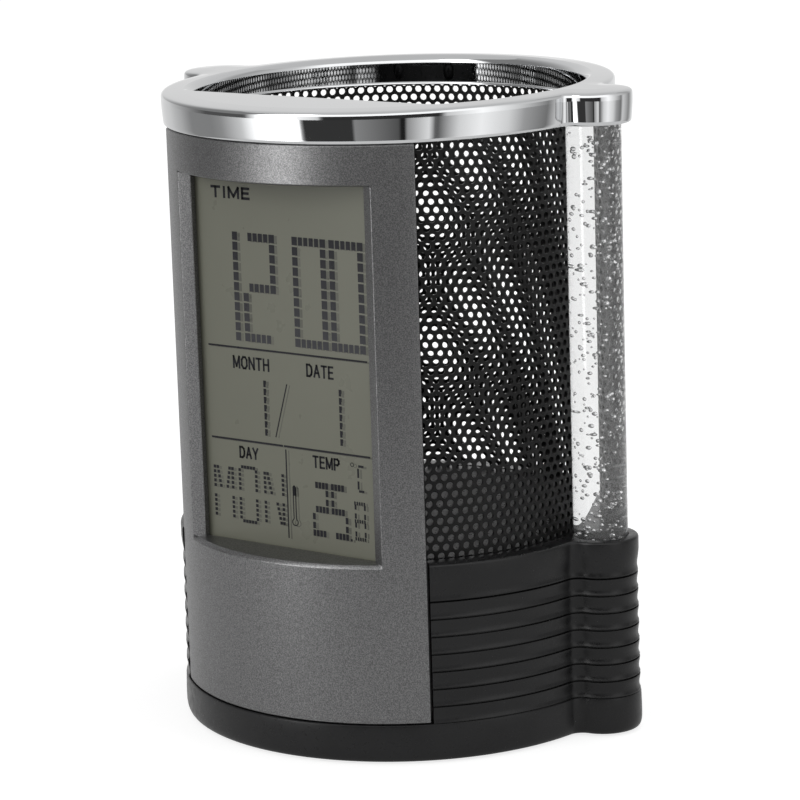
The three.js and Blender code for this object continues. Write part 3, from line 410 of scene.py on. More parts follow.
def metal(name, color, roughness):
    return finish(name, color, roughness, {"Metallic": 1.0}, (500.0, [c * 0.8 for c in color], color),
                  (2500.0, roughness - 0.08, roughness + 0.1), (3000.0, 0.00003, 0.3, (1.0, 8.0, 1.0)))


def clear_acrylic():
    material = new_material("clear_acrylic", (0.85, 0.855, 0.855), 0.02,
                            {"Transmission Weight": 0.93, "IOR": 1.49})
    vary_roughness(material, 400.0, 0.0, 0.02)
    return material


# Display blocks with painted shading: paler towards their lowest row and darker towards the top, a colour
# ramp by height that stands in for how a liquid crystal's contrast changes when seen from above
def display_block():
    material = moulded("display_block", (0.03, 0.03, 0.034), 0.3, 0.1)
    tree = material.node_tree
    height = map_range(tree, object_axes(tree)["Z"], 0.07, 0.088, 0.0, 1.0)
    color = ramp_color(tree, height, [(0.0, (0.066, 0.066, 0.072)), (1.0, (0.026, 0.026, 0.03))])
    set_inputs(shader_of(material), {"Base Color": color})
    return material


PAINT = finish("grey_metallic_paint", (0.13, 0.13, 0.132), 0.34, {"Metallic": 0.8},
               (5200.0, (0.11, 0.11, 0.111), (0.23, 0.23, 0.232), 2.0, 0.38, 0.68),
               (3000.0, 0.31, 0.41), (4200.0, 0.00003, 0.4))
SLEEVE = finish("black_lacquered_metal", (0.006, 0.006, 0.006), 0.4, {SPECULAR: 0.2},
                (300.0, (0.005, 0.005, 0.005), (0.008, 0.008, 0.008)),
                (1500.0, 0.34, 0.46), (4000.0, 0.00002, 0.3))
CHROME = finish("bright_chrome", (0.6, 0.608, 0.616), 0.04, {"Metallic": 1.0},
                (60.0, (0.59, 0.597, 0.604), (0.615, 0.622, 0.63)),
                (260.0, 0.025, 0.055), (70.0, 0.00002, 0.1))
DISPLAY = finish("liquid_crystal", (0.2, 0.202, 0.16), 0.3, {SPECULAR: 0.3},
                 (9.0, (0.19, 0.193, 0.152), (0.207, 0.208, 0.164), 1.0),
                 (200.0, 0.27, 0.33), (3000.0, 0.00001, 0.08))
BLACK = moulded("black_moulded_plastic", (0.0085, 0.0085, 0.009), 0.3)
KEY_BLACK = moulded("key_moulded_plastic", (0.026, 0.026, 0.028), 0.45)
ACRYLIC = clear_acrylic()
SEGMENT = moulded("display_segment", (0.022, 0.022, 0.026), 0.3, 0.1)
BLOCK = display_block()
SHADOW = moulded("display_segment_shadow", (0.125, 0.127, 0.103), 0.3)
RUBBER = moulded("black_rubber", (0.02, 0.02, 0.02), 0.75)
BOARD = moulded("green_board", (0.02, 0.13, 0.06), 0.4)
MILKY = moulded("milky_plastic", (0.75, 0.76, 0.74), 0.35)
WRAP = moulded("cell_sleeve", (0.06, 0.12, 0.22), 0.3)
STEEL = metal("nickel_steel", (0.62, 0.62, 0.63), 0.3)
BLACK_STEEL = metal("blackened_steel", (0.03, 0.03, 0.031), 0.4)


# ---- Front housing

FRAME_HALF_WIDTH = 21.61
FRAME_BACK = GLASS_FRONT - 0.25
FRAME_WALL = 1.4
SIDE_WALL_INNER = 20.96
SIDE_WALL_OUTER = 22.16
WINDOW_LOW = PLINTH_HIGH + 27.8
WINDOW_HIGH = HOUSING_TOP - 6.9
WINDOW_HALF_ANGLE = 28.0
WINDOW_HALF_WIDTH = HOUSING_RADIUS * sin(radians(WINDOW_HALF_ANGLE))
BEVEL_WIDTH = 2.1
BEVEL_DEPTH = 0.9
LOWER_LIP = 0.65
UPPER_LIP = 0.25
LIP_DEPTH = 0.6
LIP_START = 0.01
HOUSING_STEPS = 104
INNER_STEPS = 288
OVERRUN = 1.0
EDGE_ROUND = 0.22
EDGE_MIDDLE = 0.07
WINDOW_ROUND = 0.13


# The tool that cuts a lip along the window's lower or upper edge
def make_lip(edge, way, width, bevel_angle):
    run = width * (1 + OVERRUN / LIP_DEPTH)
    profile = [
        (HOUSING_RADIUS - LIP_DEPTH, edge), (HOUSING_RADIUS + OVERRUN, edge - way * run),
        (HOUSING_RADIUS + OVERRUN, edge + way * LIP_START),
        (HOUSING_RADIUS - LIP_DEPTH, edge + way * LIP_START),
    ]
    if way < 0:
        profile.reverse()
    return sweep("lip", profile, -90 - bevel_angle, -90 + bevel_angle, HOUSING_STEPS)


def housing_shell():
    inner, outer, low, high = HOUSING_INNER_RADIUS, HOUSING_RADIUS, HOUSING_LOW, HOUSING_HIGH
    profile = [
        (inner, low), (outer - EDGE_ROUND, low), (outer - EDGE_MIDDLE, low + EDGE_MIDDLE),
        (outer, low + EDGE_ROUND), (outer, high - EDGE_ROUND), (outer - EDGE_MIDDLE, high - EDGE_MIDDLE),
        (outer - EDGE_ROUND, high), (inner, high),
    ]
    return sweep("front_housing_panel", profile, -90 - HOUSING_HALF_ANGLE, -90 + HOUSING_HALF_ANGLE,
                 HOUSING_STEPS)


# The display's surround and the side walls, whose fronts end within the shell
def housing_inside():
    inside = wide_block(FRAME_HALF_WIDTH, -HOUSING_RADIUS, FRAME_BACK, WINDOW_LOW - FRAME_WALL,
                        WINDOW_HIGH + FRAME_WALL)
    for x0, x1 in ((-SIDE_WALL_OUTER, -SIDE_WALL_INNER), (SIDE_WALL_INNER, SIDE_WALL_OUTER)):
        join(inside, block(x0, x1, -HOUSING_RADIUS, SIDE_WALL_BACK, HOUSING_LOW, HOUSING_HIGH))
    middle = (HOUSING_INNER_RADIUS + HOUSING_RADIUS) / 2
    keep_within(inside, upright_bar(0.0, 0.0, middle, HOUSING_LOW, HOUSING_HIGH, INNER_STEPS))
    return inside


def make_housing():
    piece = housing_shell()
    join(piece, housing_inside())
    x, bevel_x = WINDOW_HALF_WIDTH, WINDOW_HALF_WIDTH + BEVEL_WIDTH
    front, bevel_y = -HOUSING_RADIUS - OVERRUN, -sqrt(HOUSING_RADIUS**2 - bevel_x**2)
    bevel_angle = degrees(asin(bevel_x / HOUSING_RADIUS))
    bevel = raised("bevel", [
        (-bevel_x, front), (bevel_x, front), (bevel_x, bevel_y), (x, bevel_y + BEVEL_DEPTH),
        (-x, bevel_y + BEVEL_DEPTH), (-bevel_x, bevel_y),
    ], WINDOW_LOW, WINDOW_HIGH)
    cut(piece, wide_block(x, front, FRAME_BACK + OVERRUN, WINDOW_LOW, WINDOW_HIGH), bevel,
        make_lip(WINDOW_LOW, 1, LOWER_LIP, bevel_angle), make_lip(WINDOW_HIGH, -1, UPPER_LIP, bevel_angle))
    round_edges(piece, WINDOW_ROUND, 30.0)
    return piece


place(make_housing(), "front_housing_panel", PAINT, "housing_paint", "front_housing", weighted=True)


# ---- Display marks, as flat plates on the glass. Heights are counted from the plinth's underside

MARK_DEPTH = 0.03
SHADE_DEPTH = 0.012
SHADE_SHIFT_X, SHADE_SHIFT_Z = 0.6, -0.12

# Time: rows of blocks, counted from the top
TIME_ROWS = range(11)
ROW_TOP = 88.2
ROW_PITCH = 1.733
ROW_HEIGHT = 1.42
BLOCK_COLUMNS = [(0.0, 1.13), (1.36, 2.22), (2.49, 3.35), (3.62, 4.48), (4.75, 5.61), (5.9, 7.06)]
ONE_COLUMNS = [(-10.8, -9.7)]
TWO_X, ZERO_X, LAST_ZERO_X = -8.8, 2.0, 9.75

# Date: dashes in pairs of a narrow and a wide one
DATE_LOW, DATE_HIGH = 53.35, 62.87
DASH_PAIRS = 7
DASH_GAP = 0.35
DASH_SPLIT, DASH_TOP = 0.5, 1.14
SLASH = ((-2.99, 53.31), (-0.19, 62.76), 0.21)

# Weekday: dots in columns, rows and slopes
DAY_LOW, DAY_HIGH = 38.3, 46.7
DAY_COLUMNS = [-16.75, -12.85, -11.25, -7.65, -5.75, -1.85]
DOT = 0.54
DOT_PITCH = 0.82
DOT_RUN = 5

# Temperature: two digits of bars and posts, a small eight, a unit and a thermometer
TEMP_LOW, TEMP_HIGH = 37.0, 46.5
BAR_PITCH, BAR_WIDTH, BAR_HEIGHT = 0.72, 0.57, 1.1
POST_GAP = 0.22
EIGHT_X, EIGHT_LOW, EIGHT_HIGH = (13.3, 15.75), 37.3, 44.0
BULB_X, BULB_Z, BULB_RADIUS, BULB_LINE = 0.55, 38.85, 0.6, 0.18
STEM_HALF_WIDTH, STEM_HIGH, STEM_TIP = 0.25, 45.0, 45.25
DEGREE_X, DEGREE_Z, DEGREE_RADIUS, DEGREE_LINE = 13.12, 50.33, 0.33, 0.12

# Plain bars: the temperature's unit and point, and the lines between the fields
BARS = [
    (14.4, 15.5, 50.0, 50.4), (14.4, 15.5, 45.7, 46.1), (14.15, 14.52, 48.2, 49.8),
    (14.15, 14.52, 46.2, 47.6), (12.3, 12.7, 37.0, 37.4), (-17.0, 17.0, 68.04, 68.36),
    (-17.1, -1.5, 51.79, 52.13), (-1.3, 17.0, 51.79, 52.13), (-1.07, -0.83, 35.9, 51.4),
]


def stroke(start, end, width):
    (x0, z0), (x1, z1) = start, end
    length = hypot(x1 - x0, z1 - z0)
    nx, nz = -(z1 - z0) / length * width / 2, (x1 - x0) / length * width / 2
    return [(x0 - nx, z0 - nz), (x1 - nx, z1 - nz), (x1 + nx, z1 + nz), (x0 + nx, z0 + nz)]


def line(points, width):
    return [stroke(start, end, width) for start, end in zip(points, points[1:])]


def block_rows(x, rows, spans=BLOCK_COLUMNS):
    marks = []
    for row, columns in rows.items():
        top = ROW_TOP - row * ROW_PITCH
        for left, right in (spans[column] for column in columns):
            marks.append(rectangle(x + left, x + right, top - ROW_HEIGHT, top))
    return marks


def time_marks():
    one = {row: [0] for row in TIME_ROWS}
    two = {0: range(1, 6), 5: range(1, 6), 10: range(5)}
    two.update({row: [5] for row in range(1, 5)})
    two.update({row: [0] for row in range(6, 10)})
    zero = {row: [0, 5] for row in TIME_ROWS}
    zero.update({0: range(6), 10: range(6)})
    return (block_rows(0.0, one, ONE_COLUMNS) + block_rows(TWO_X, two) + block_rows(ZERO_X, zero)
            + block_rows(LAST_ZERO_X, zero))


def dashed_one(x):
    marks = []
    for i in range(DASH_PAIRS):
        low = DATE_LOW + i * ((DATE_HIGH - DATE_LOW + DASH_GAP) / DASH_PAIRS)
        marks.append(rectangle(x - 0.28, x + 0.22, low, low + DASH_SPLIT))
        marks.append(rectangle(x - 0.28, x + 0.3, low + DASH_SPLIT, low + DASH_TOP))
    return marks


def date_marks():
    return dashed_one(-5.0) + dashed_one(11.1) + [stroke(*SLASH)]


def dot(x, z):
    return rectangle(x - DOT / 2, x + DOT / 2, z - DOT / 2, z + DOT / 2)


def dot_column(x):
    steps = [i * DOT_PITCH for i in range(DOT_RUN)]
    return [dot(x, DAY_LOW + step) for step in steps] + [dot(x, DAY_HIGH - step) for step in steps]


def dot_slope(x0, z0, x1, z1):
    steps = [i / (DOT_RUN - 1) for i in range(DOT_RUN)]
    return [dot(x0 + (x1 - x0) * t, z0 + (z1 - z0) * t) for t in steps]


def weekday_marks():
    low, high, run = DAY_LOW, DAY_HIGH, (DOT_RUN - 1) * DOT_PITCH
    slopes = [
        (-16.1, high, -15.5, high - run), (-13.5, high, -14.05, high - run),
        (-10.65, high + 0.57, -8.1, high + 0.57), (-10.65, low - 0.6, -8.1, low - 0.6),
        (-5.13, high, -4.4, high - run), (-3.15, low + run, -2.45, low),
    ]
    marks = [mark for x in DAY_COLUMNS for mark in dot_column(x)]
    return marks + [mark for slope in slopes for mark in dot_slope(*slope)]


# A digit of five columns: bars from one column to another, and posts of two dashes
def bar_digit(x0, bars, posts):
    middle = (TEMP_LOW + TEMP_HIGH - BAR_HEIGHT) / 2
    marks = []
    for z, (first, last) in zip((TEMP_HIGH - BAR_HEIGHT, middle, TEMP_LOW), bars):
        for x in (x0 + column * BAR_PITCH for column in range(first, last + 1)):
            marks.append(rectangle(x, x + BAR_WIDTH, z, z + BAR_HEIGHT))
    room = (middle - TEMP_LOW - BAR_HEIGHT) / 2
    for column, foot in zip(posts, (middle, TEMP_LOW)):
        x, z = x0 + column * BAR_PITCH, foot + BAR_HEIGHT
        for i in range(2):
            start = z + i * room + POST_GAP
            marks.append(rectangle(x, x + BAR_WIDTH, start, start + room - 2 * POST_GAP))
    return marks


def small_eight():
    (x0, x1), low, high = EIGHT_X, EIGHT_LOW, EIGHT_HIGH
    marks = []
    for z in (low, (low + high - 0.55) / 2, high - 0.55):
        for x in (x0 + i * ((x1 - x0) / 5) for i in range(5)):
            marks.append(rectangle(x, x + 0.3, z, z + 0.6))
    for x in (x0, x1 - 0.5):
        for start in (low + 0.68 + i * ((high - low) / 2) / 2.15 for i in range(4)):
            marks.append(rectangle(x + 0.05, x + 0.43, start, start + 0.9))
    return marks


def thermometer():
    x = BULB_X
    points = arc(x, BULB_Z, BULB_RADIUS, radians(115), radians(425), 14)
    tip = [(x + STEM_HALF_WIDTH, STEM_HIGH), (x, STEM_TIP), (x - STEM_HALF_WIDTH, STEM_HIGH)]
    return line([points[-1]] + tip + points, BULB_LINE) + [rectangle(x - 0.28, x + 0.28, 43.5, 45.1)]


def temperature_marks():
    marks = line(arc(DEGREE_X, DEGREE_Z, DEGREE_RADIUS, 0.0, tau, 12), DEGREE_LINE)
    marks += bar_digit(4.4, [(1, 4), (1, 4), (0, 3)], [4, 0])
    marks += bar_digit(8.48, [(0, 3), (0, 3), (1, 4)], [0, 4])
    return marks + small_eight() + thermometer()


# Each letter's share of the word's width, and its strokes as x,y points in a box of width and height 1
LETTERS = {
    "T": (0.8, "0,1 1,1 | .5,1 .5,0"), "I": (0.12, ".5,0 .5,1"), "M": (0.95, "0,0 0,1 .5,.12 1,1 1,0"),
    "E": (0.66, "1,1 0,1 0,0 1,0 | 0,.52 .88,.52"), "N": (0.8, "0,0 0,1 1,0 1,1"),
    "O": (0.85, ".3,0 0,.25 0,.75 .3,1 .7,1 1,.75 1,.25 .7,0 .3,0"),
    "H": (0.8, "0,0 0,1 | 1,0 1,1 | 0,.52 1,.52"), "A": (0.85, "0,0 .5,1 1,0 | .2,.34 .8,.34"),
    "D": (0.8, "0,0 0,1 .55,1 .9,.84 1,.6 1,.4 .9,.16 .55,0 0,0"),
    "Y": (0.85, "0,1 .5,.45 1,1 | .5,.45 .5,0"), "P": (0.75, "0,0 0,1 .7,1 1,.85 1,.62 .7,.46 0,.46"),
}
LETTER_GAP = 0.42


def label_marks(text, x0, x1, z0, z1, width):
    shares = [LETTERS[letter][0] for letter in text]
    unit = (x1 - x0 - width) / (sum(shares) + LETTER_GAP * (len(text) - 1))
    left, low, height = x0 + width / 2, z0 + width / 2, z1 - z0 - width
    marks = []
    for letter, share in zip(text, shares):
        for path in LETTERS[letter][1].split("|"):
            spots = [map(float, spot.split(",")) for spot in path.split()]
            points = [(left + u * share * unit, low + v * height) for u, v in spots]
            marks += [capped_stroke(a, b, width) for a, b in zip(points, points[1:])]
        left += (share + LETTER_GAP) * unit
    return marks


def capped_stroke(start, end, width):
    a, b = Vector(start), Vector(end)
    run = (b - a).normalized() * (width * 0.42)
    return stroke(a - run, b + run, width)


LABELS = [
    ("TIME", -15.1, -6.6, 93.75, 95.9, 0.46), ("MONTH", -11.74, -3.83, 64.5, 66.8, 0.36),
    ("DATE", 4.08, 9.88, 64.5, 66.8, 0.36), ("DAY", -11.15, -6.94, 48.8, 50.96, 0.36),
    ("TEMP", 4.73, 10.5, 48.86, 51.06, 0.36),
]


# Flat plates that stand off the glass by the depth
def plates(name, marks, depth):
    verts, faces = [], []
    for outline in marks:
        count, first = len(outline), len(verts)
        for y in (GLASS_FRONT - depth, GLASS_FRONT):
            verts += [(x, y, z + PLINTH_LOW) for x, z in outline]
        faces.append(tuple(first + i for i in range(count)))
        faces.append(tuple(first + count + i for i in reversed(range(count))))
        for i in range(count):
            j = (i + 1) % count
            faces.append((first + i, first + count + i, first + count + j, first + j))
    return add_object(name, verts, faces)


def place_marks():
    times = time_marks()
    segments = date_marks() + weekday_marks() + temperature_marks() + [rectangle(*bar) for bar in BARS]
    shades = [[(x + SHADE_SHIFT_X, z + SHADE_SHIFT_Z) for x, z in mark] for mark in times + segments]
    labels = [mark for label in LABELS for mark in label_marks(*label)]
    for name, marks, depth, material in (
        ("display_blocks", times, MARK_DEPTH, BLOCK), ("display_segments", segments, MARK_DEPTH, SEGMENT),
        ("display_segment_shadows", shades, SHADE_DEPTH, SHADOW),
        ("display_labels", labels, MARK_DEPTH, SEGMENT),
    ):
        place(plates(name, marks, depth), name, material, "display")


place_marks()


# ---- Perforated sleeve: a flat net of cells with a hole in each, bent round and given thickness.
# A point of the net is (column, z), and a column is half the pitch of the holes

SLEEVE_THICKNESS = 0.5
SLEEVE_COLUMNS = 97
SLEEVE_ROWS = 48
NET_LOW = DECK - 0.55
NET_HIGH = SLEEVE_HIGH - 1.36
HOLE_RADIUS = 0.61
LAST_COLUMN = 2 * SLEEVE_COLUMNS
SLEEVE_START = radians(-90 + SLEEVE_HALF_GAP)
SLEEVE_TURN = radians(360 - 2 * SLEEVE_HALF_GAP)
HALF_PITCH = SLEEVE_TURN * SLEEVE_RADIUS / LAST_COLUMN
ROW_STEP = (NET_HIGH - NET_LOW) / (SLEEVE_ROWS + 1 / 3)
CELL = [(0, -2 / 3), (1, -1 / 3), (1, 1 / 3), (0, 2 / 3), (-1, 1 / 3), (-1, -1 / 3)]


def row_middle(row):
    return NET_LOW + ROW_STEP * (row + 2 / 3)


# The cell's corners and the middles of its sides
def cell_border():
    border = []
    for (u0, v0), (u1, v1) in zip(CELL, CELL[1:] + CELL[:1]):
        border += [(u0, v0), ((u0 + u1) / 2, (v0 + v1) / 2)]
    return border


# One row's faces, each between a cell's border and its hole, and the edges of its holes
def net_row(row, point):
    border, odd, z = cell_border(), row % 2, row_middle(row)
    flat, walls = [], []
    for column in range(1 + odd, LAST_COLUMN, 2):
        outer = [point(column + u, z + v * ROW_STEP) for u, v in border]
        inner = []
        for u, v in border:
            angle = atan2(v * ROW_STEP, u * HALF_PITCH)
            across = HOLE_RADIUS * cos(angle) / HALF_PITCH
            inner.append(point(column + across, z + HOLE_RADIUS * sin(angle)))
        for i in range(len(border)):
            j = (i + 1) % len(border)
            flat.append((outer[i], outer[j], inner[j], inner[i]))
            walls.append((inner[i], inner[j]))
    return flat, walls


# The half cells at both ends of an odd row, which have no hole
def row_ends(row, point):
    z = row_middle(row)
    low, high = z - ROW_STEP * 2 / 3, z + ROW_STEP * 2 / 3
    near, far = z - ROW_STEP / 3, z + ROW_STEP / 3
    left = [(0, low), (0.5, (low + near) / 2), (1, near), (1, z), (1, far), (0.5, (far + high) / 2),
            (0, high)]
    right = [(LAST_COLUMN - column, level) for column, level in reversed(left)]
    return [tuple(point(*spot) for spot in side) for side in (left, right)]


# The toothed bands without holes below the lowest row and above the highest one
def net_bands(point):
    lowest, highest = row_middle(0), row_middle(SLEEVE_ROWS - 1)
    flat = []
    for left in range(LAST_COLUMN):
        right = left + 1
        first, last = (ROW_STEP * (2 / 3 if column % 2 else 1 / 3) for column in (left, right))
        middle = (first + last) / 2
        below = [(left, SLEEVE_LOW), (right, SLEEVE_LOW), (right, lowest - last),
                 (left + 0.5, lowest - middle), (left, lowest - first)]
        above = [(left, highest + first), (left + 0.5, highest + middle), (right, highest + last),
                 (right, SLEEVE_HIGH), (left, SLEEVE_HIGH)]
        flat += [tuple(point(*spot) for spot in band) for band in (below, above)]
    return flat


# The edges along which the net ends, apart from those of the holes
def net_rim(flat, walls):
    edges = {}
    for face in flat:
        for edge in zip(face, face[1:] + face[:1]):
            edges[edge] = True
    holes = set(walls)
    return [(a, b) for a, b in edges if (b, a) not in edges and (b, a) not in holes]


def make_sleeve():
    numbers, points, flat, walls = {}, [], [], []

    def point(column, z):
        key = (round(column * 1e4), round(z * 1e4))
        if key not in numbers:
            numbers[key] = len(points)
            points.append((column, z))
        return numbers[key]

    for row in range(SLEEVE_ROWS):
        row_flat, row_walls = net_row(row, point)
        flat += row_flat + (row_ends(row, point) if row % 2 else [])
        walls += row_walls
    flat += net_bands(point)
    count = len(points)
    verts = []
    for radius in (SLEEVE_RADIUS, SLEEVE_RADIUS - SLEEVE_THICKNESS):
        for column, z in points:
            angle = SLEEVE_START + SLEEVE_TURN * column / LAST_COLUMN
            verts.append((radius * cos(angle), radius * sin(angle), z))
    faces = flat + [tuple(count + i for i in reversed(face)) for face in flat]
    faces += [(i, j, count + j, count + i) for i, j in walls]
    faces += [(b, a, count + a, count + b) for a, b in net_rim(flat, walls)]
    return add_object("perforated_sleeve", verts, faces)


place(make_sleeve(), "perforated_sleeve", SLEEVE, "perforated_metal", "mesh_sleeve")


# ---- Top rim

RIM_PLAN = (39.4, 6.7, 1.6)
MOUTH_CHORD = 22.0
MOUTH_CORNER = 3.0
RIM_HEIGHT = 6.1
RIM_TOP = HOUSING_TOP + RIM_HEIGHT
RIM_LEAN = 0.0175
CHANNEL_RADIUS = 37.8
CHANNEL_DEPTH = 3.7
SKIRT_RISE = 0.0125
INNER_SKIRT_RISE = -0.006
SKIRT_START = -28.0
# Heights above the housing's top, and insets of the outline there
RIM_PROFILE = [
    (0.0, 0.62), (0.08, 0.44), (0.25, 0.31), (0.9, 0.25), (1.8, 0.18), (2.7, 0.12), (3.6, 0.07),
    (4.5, 0.05), (5.15, 0.06), (5.4, 0.1), (5.58, 0.19), (5.72, 0.33), (5.82, 0.52), (5.89, 0.8),
    (5.94, 1.3), (5.98, 1.9), (6.02, 2.6), (6.05, 3.3), (6.08, 3.9), (6.1, 4.5),
]
# The mouth's growth at heights above the housing's top, and then at depths below the rim's top
MOUTH_FOOT = [(-OVERRUN, -0.2), (1.6, -0.2), (1.7, -0.14), (1.8, 0.0)]
MOUTH_LIP = [
    (1.35, 0.0), (1.1, 0.03), (0.82, 0.14), (0.55, 0.34), (0.3, 0.62), (0.12, 0.95), (0.0, 1.35),
    (-OVERRUN, 4.9),
]
SKIRT_WALL = 0.6
SKIRT_LOW = 1.4
CHANNEL_SIDES = 144
ROD_GAP = 0.15


def mouth(grow):
    return mouth_outline(MOUTH_RADIUS + grow, MOUTH_CHORD + grow, MOUTH_CORNER + grow)


def make_rim():
    piece = lobed_solid("chromed_rim", HOUSING_TOP, RIM_PLAN, RIM_PROFILE)
    levels = [(HOUSING_TOP + rise, mouth(grow)) for rise, grow in MOUTH_FOOT]
    levels += [(RIM_TOP - drop, mouth(grow)) for drop, grow in MOUTH_LIP]
    cut(piece, loft("mouth", levels))
    under, channel_top = HOUSING_TOP - OVERRUN, HOUSING_TOP + CHANNEL_DEPTH
    channel = upright_bar(0.0, 0.0, CHANNEL_RADIUS, under, channel_top, CHANNEL_SIDES)
    cut(channel, raised("skirt", mouth(SKIRT_WALL), HOUSING_TOP + SKIRT_LOW, channel_top + OVERRUN))
    cut(piece, channel, *rod_bars(ROD_RADIUS + ROD_GAP, under, ROD_HIGH + 0.3))
    for vert in piece.data.vertices:
        vert.co.z += rim_lift(*vert.co)
    return piece


# The rim's top falls towards the front, and its outer skirt is shorter towards the back
def rim_lift(x, y, z):
    rise = max(z - HOUSING_TOP, 0.0)
    lift = RIM_LEAN * y * rise / RIM_HEIGHT
    reach = hypot(x, y)
    if rise < CHANNEL_DEPTH:
        slope = SKIRT_RISE if reach > CHANNEL_RADIUS - 0.3 else INNER_SKIRT_RISE
        lift += slope * max(y - SKIRT_START, 0.0) * (1.0 - rise / CHANNEL_DEPTH)
    return lift


place(make_rim(), "chromed_rim", CHROME, "rim_chrome", "top_rim", weighted=True, smooth=40.0)


# ---- Base shell

BASE_PLAN = (BASE_RADIUS, 6.45, 2.0)
BASE_WALL = 2.4
RIB_COUNT = 7
RIB_PITCH = 3.03
# Shares of the pitch above a groove's middle, and depths below the rib's crest
RIB_PROFILE = [
    (0.048, 0.55), (0.052, 0.03), (0.08, 0.0), (0.13, 0.06), (0.2, 0.15), (0.3, 0.21), (0.4, 0.22),
    (0.52, 0.19), (0.65, 0.13), (0.78, 0.06), (0.9, 0.01), (0.945, 0.02), (0.949, 0.55),
]
CREST_TOP = 0.14
CREST_GAIN = 0.025
# Heights above the highest groove, and depths below the band's crest
TOP_BAND = [
    (0.15, 0.55), (0.16, 0.15), (0.25, 0.13), (0.5, 0.18), (0.8, 0.25), (1.25, 0.28), (1.8, 0.23),
    (2.5, 0.12), (3.2, 0.03), (3.96, -0.04),
]
DECK_PROFILE = [(0.5, -0.04), (0.32, -0.01), (0.17, 0.08), (0.07, 0.19), (0.0, 0.36)]
DECK_THICKNESS = 2.4
NOTCH_BACK = COVER_BACK + 0.3
NOTCH_HALF_WIDTH = 22.46
GROOVE_LEAD = 2.0
STEP_RADIUS = 36.9
ROD_SEAT = ROD_LOW - SEAM
PANEL_BACK = 36.0
PANEL_HALF_WIDTH = 15.0
PANEL_INNER = 34.0
PANEL_LOW = 16.56
PANEL_WALL = 2.4
PANEL_WALL_LOW = 14.9
SOCKET_WALL = 1.55
SHAFT_RADIUS = 3.2
KEY_BORE_RADIUS = 2.75
SLOT_HALF_LENGTH = 2.95
SLOT_HALF_HEIGHT = 1.45
GROOVE_DEPTH = 1.2
GROOVE_STEPS = 140
# A place beyond the object's back
BEYOND = 50.0
KEYS = ["mode_key", "set_key", "down_key", "up_key"]


def base_outline(inset):
    start = -90 + BASE_EDGE_ANGLE
    side_y = -sqrt(STEP_RADIUS**2 - NOTCH_HALF_WIDTH**2)
    turn = radians(start)
    front = [
        (0.0, NOTCH_BACK), (NOTCH_HALF_WIDTH, NOTCH_BACK), (NOTCH_HALF_WIDTH, side_y),
        (STEP_RADIUS * cos(turn), STEP_RADIUS * sin(turn)),
    ]
    half = front + lobed_half(*BASE_PLAN, inset, start)
    half[-1] = (0.0, half[-1][1])
    return mirrored(half)


def base_rings():
    rings = []
    for rib in range(RIB_COUNT):
        crest = CREST_TOP - CREST_GAIN * (RIB_COUNT - rib)
        for share, depth in RIB_PROFILE:
            level = PLINTH_HIGH + (rib + share) * RIB_PITCH
            if level > HOUSING_LOW + 0.05:
                rings.append((level, base_outline(crest + depth)))
    band = PLINTH_HIGH + RIB_COUNT * RIB_PITCH
    rings = [(HOUSING_LOW, rings[0][1])] + rings
    rings += [(band + rise, base_outline(inset)) for rise, inset in TOP_BAND]
    return rings + [(DECK - drop, base_outline(inset)) for drop, inset in DECK_PROFILE]


# The room inside the base, round the rods' sockets and the wall behind the key panel
def base_hollow():
    hollow = raised("hollow", mouth_outline(BASE_RADIUS - BASE_WALL, -NOTCH_BACK - BASE_WALL, 2.0),
                    PLINTH_HIGH - OVERRUN, DECK - DECK_THICKNESS)
    cut(hollow, *rod_bars(ROD_RADIUS + SOCKET_WALL, PLINTH_HIGH - 2 * OVERRUN, DECK),
        wide_block(PANEL_HALF_WIDTH + PANEL_WALL, PANEL_INNER, BEYOND, PANEL_WALL_LOW, DECK))
    return hollow


# The key panel's recess, the holes of the keys and the slot of the lamp switch
def panel_tools():
    front, back = PANEL_INNER - OVERRUN, PANEL_BACK + OVERRUN
    tools = [wide_block(PANEL_HALF_WIDTH, PANEL_BACK, BEYOND, PANEL_LOW, DECK - DECK_THICKNESS - 0.3)]
    for x, _, z in map(centre_of, KEYS):
        tools.append(level_bar(x, z, KEY_BORE_RADIUS, front, back))
    z = centre_of("lamp_knob")[2]
    return tools + [wide_block(SLOT_HALF_LENGTH, front, back, z - SLOT_HALF_HEIGHT, z + SLOT_HALF_HEIGHT)]


# The round groove that the sleeve stands in
def groove_tool():
    outline = rectangle(SLEEVE_RADIUS - 0.8, SLEEVE_RADIUS + 0.3, DECK - GROOVE_DEPTH, DECK + OVERRUN)
    lead = SLEEVE_HALF_GAP - GROOVE_LEAD
    return sweep("groove", outline, -90 + lead, 270 - lead, GROOVE_STEPS)


def make_base():
    piece = loft("ribbed_base", base_rings())
    seats = rod_bars(ROD_RADIUS + ROD_GAP, ROD_SEAT, DECK + OVERRUN)
    shafts = rod_bars(SHAFT_RADIUS, 0.0, DECK - OVERRUN)
    rod_tools = [tool for pair in zip(seats, shafts) for tool in pair]
    cut(piece, base_hollow(), *panel_tools(), *rod_tools, groove_tool())
    return piece


place(make_base(), "ribbed_base", BLACK, "black_plastic", "base_shell", smooth=28.0)


# ---- Bottom tray, battery door and feet

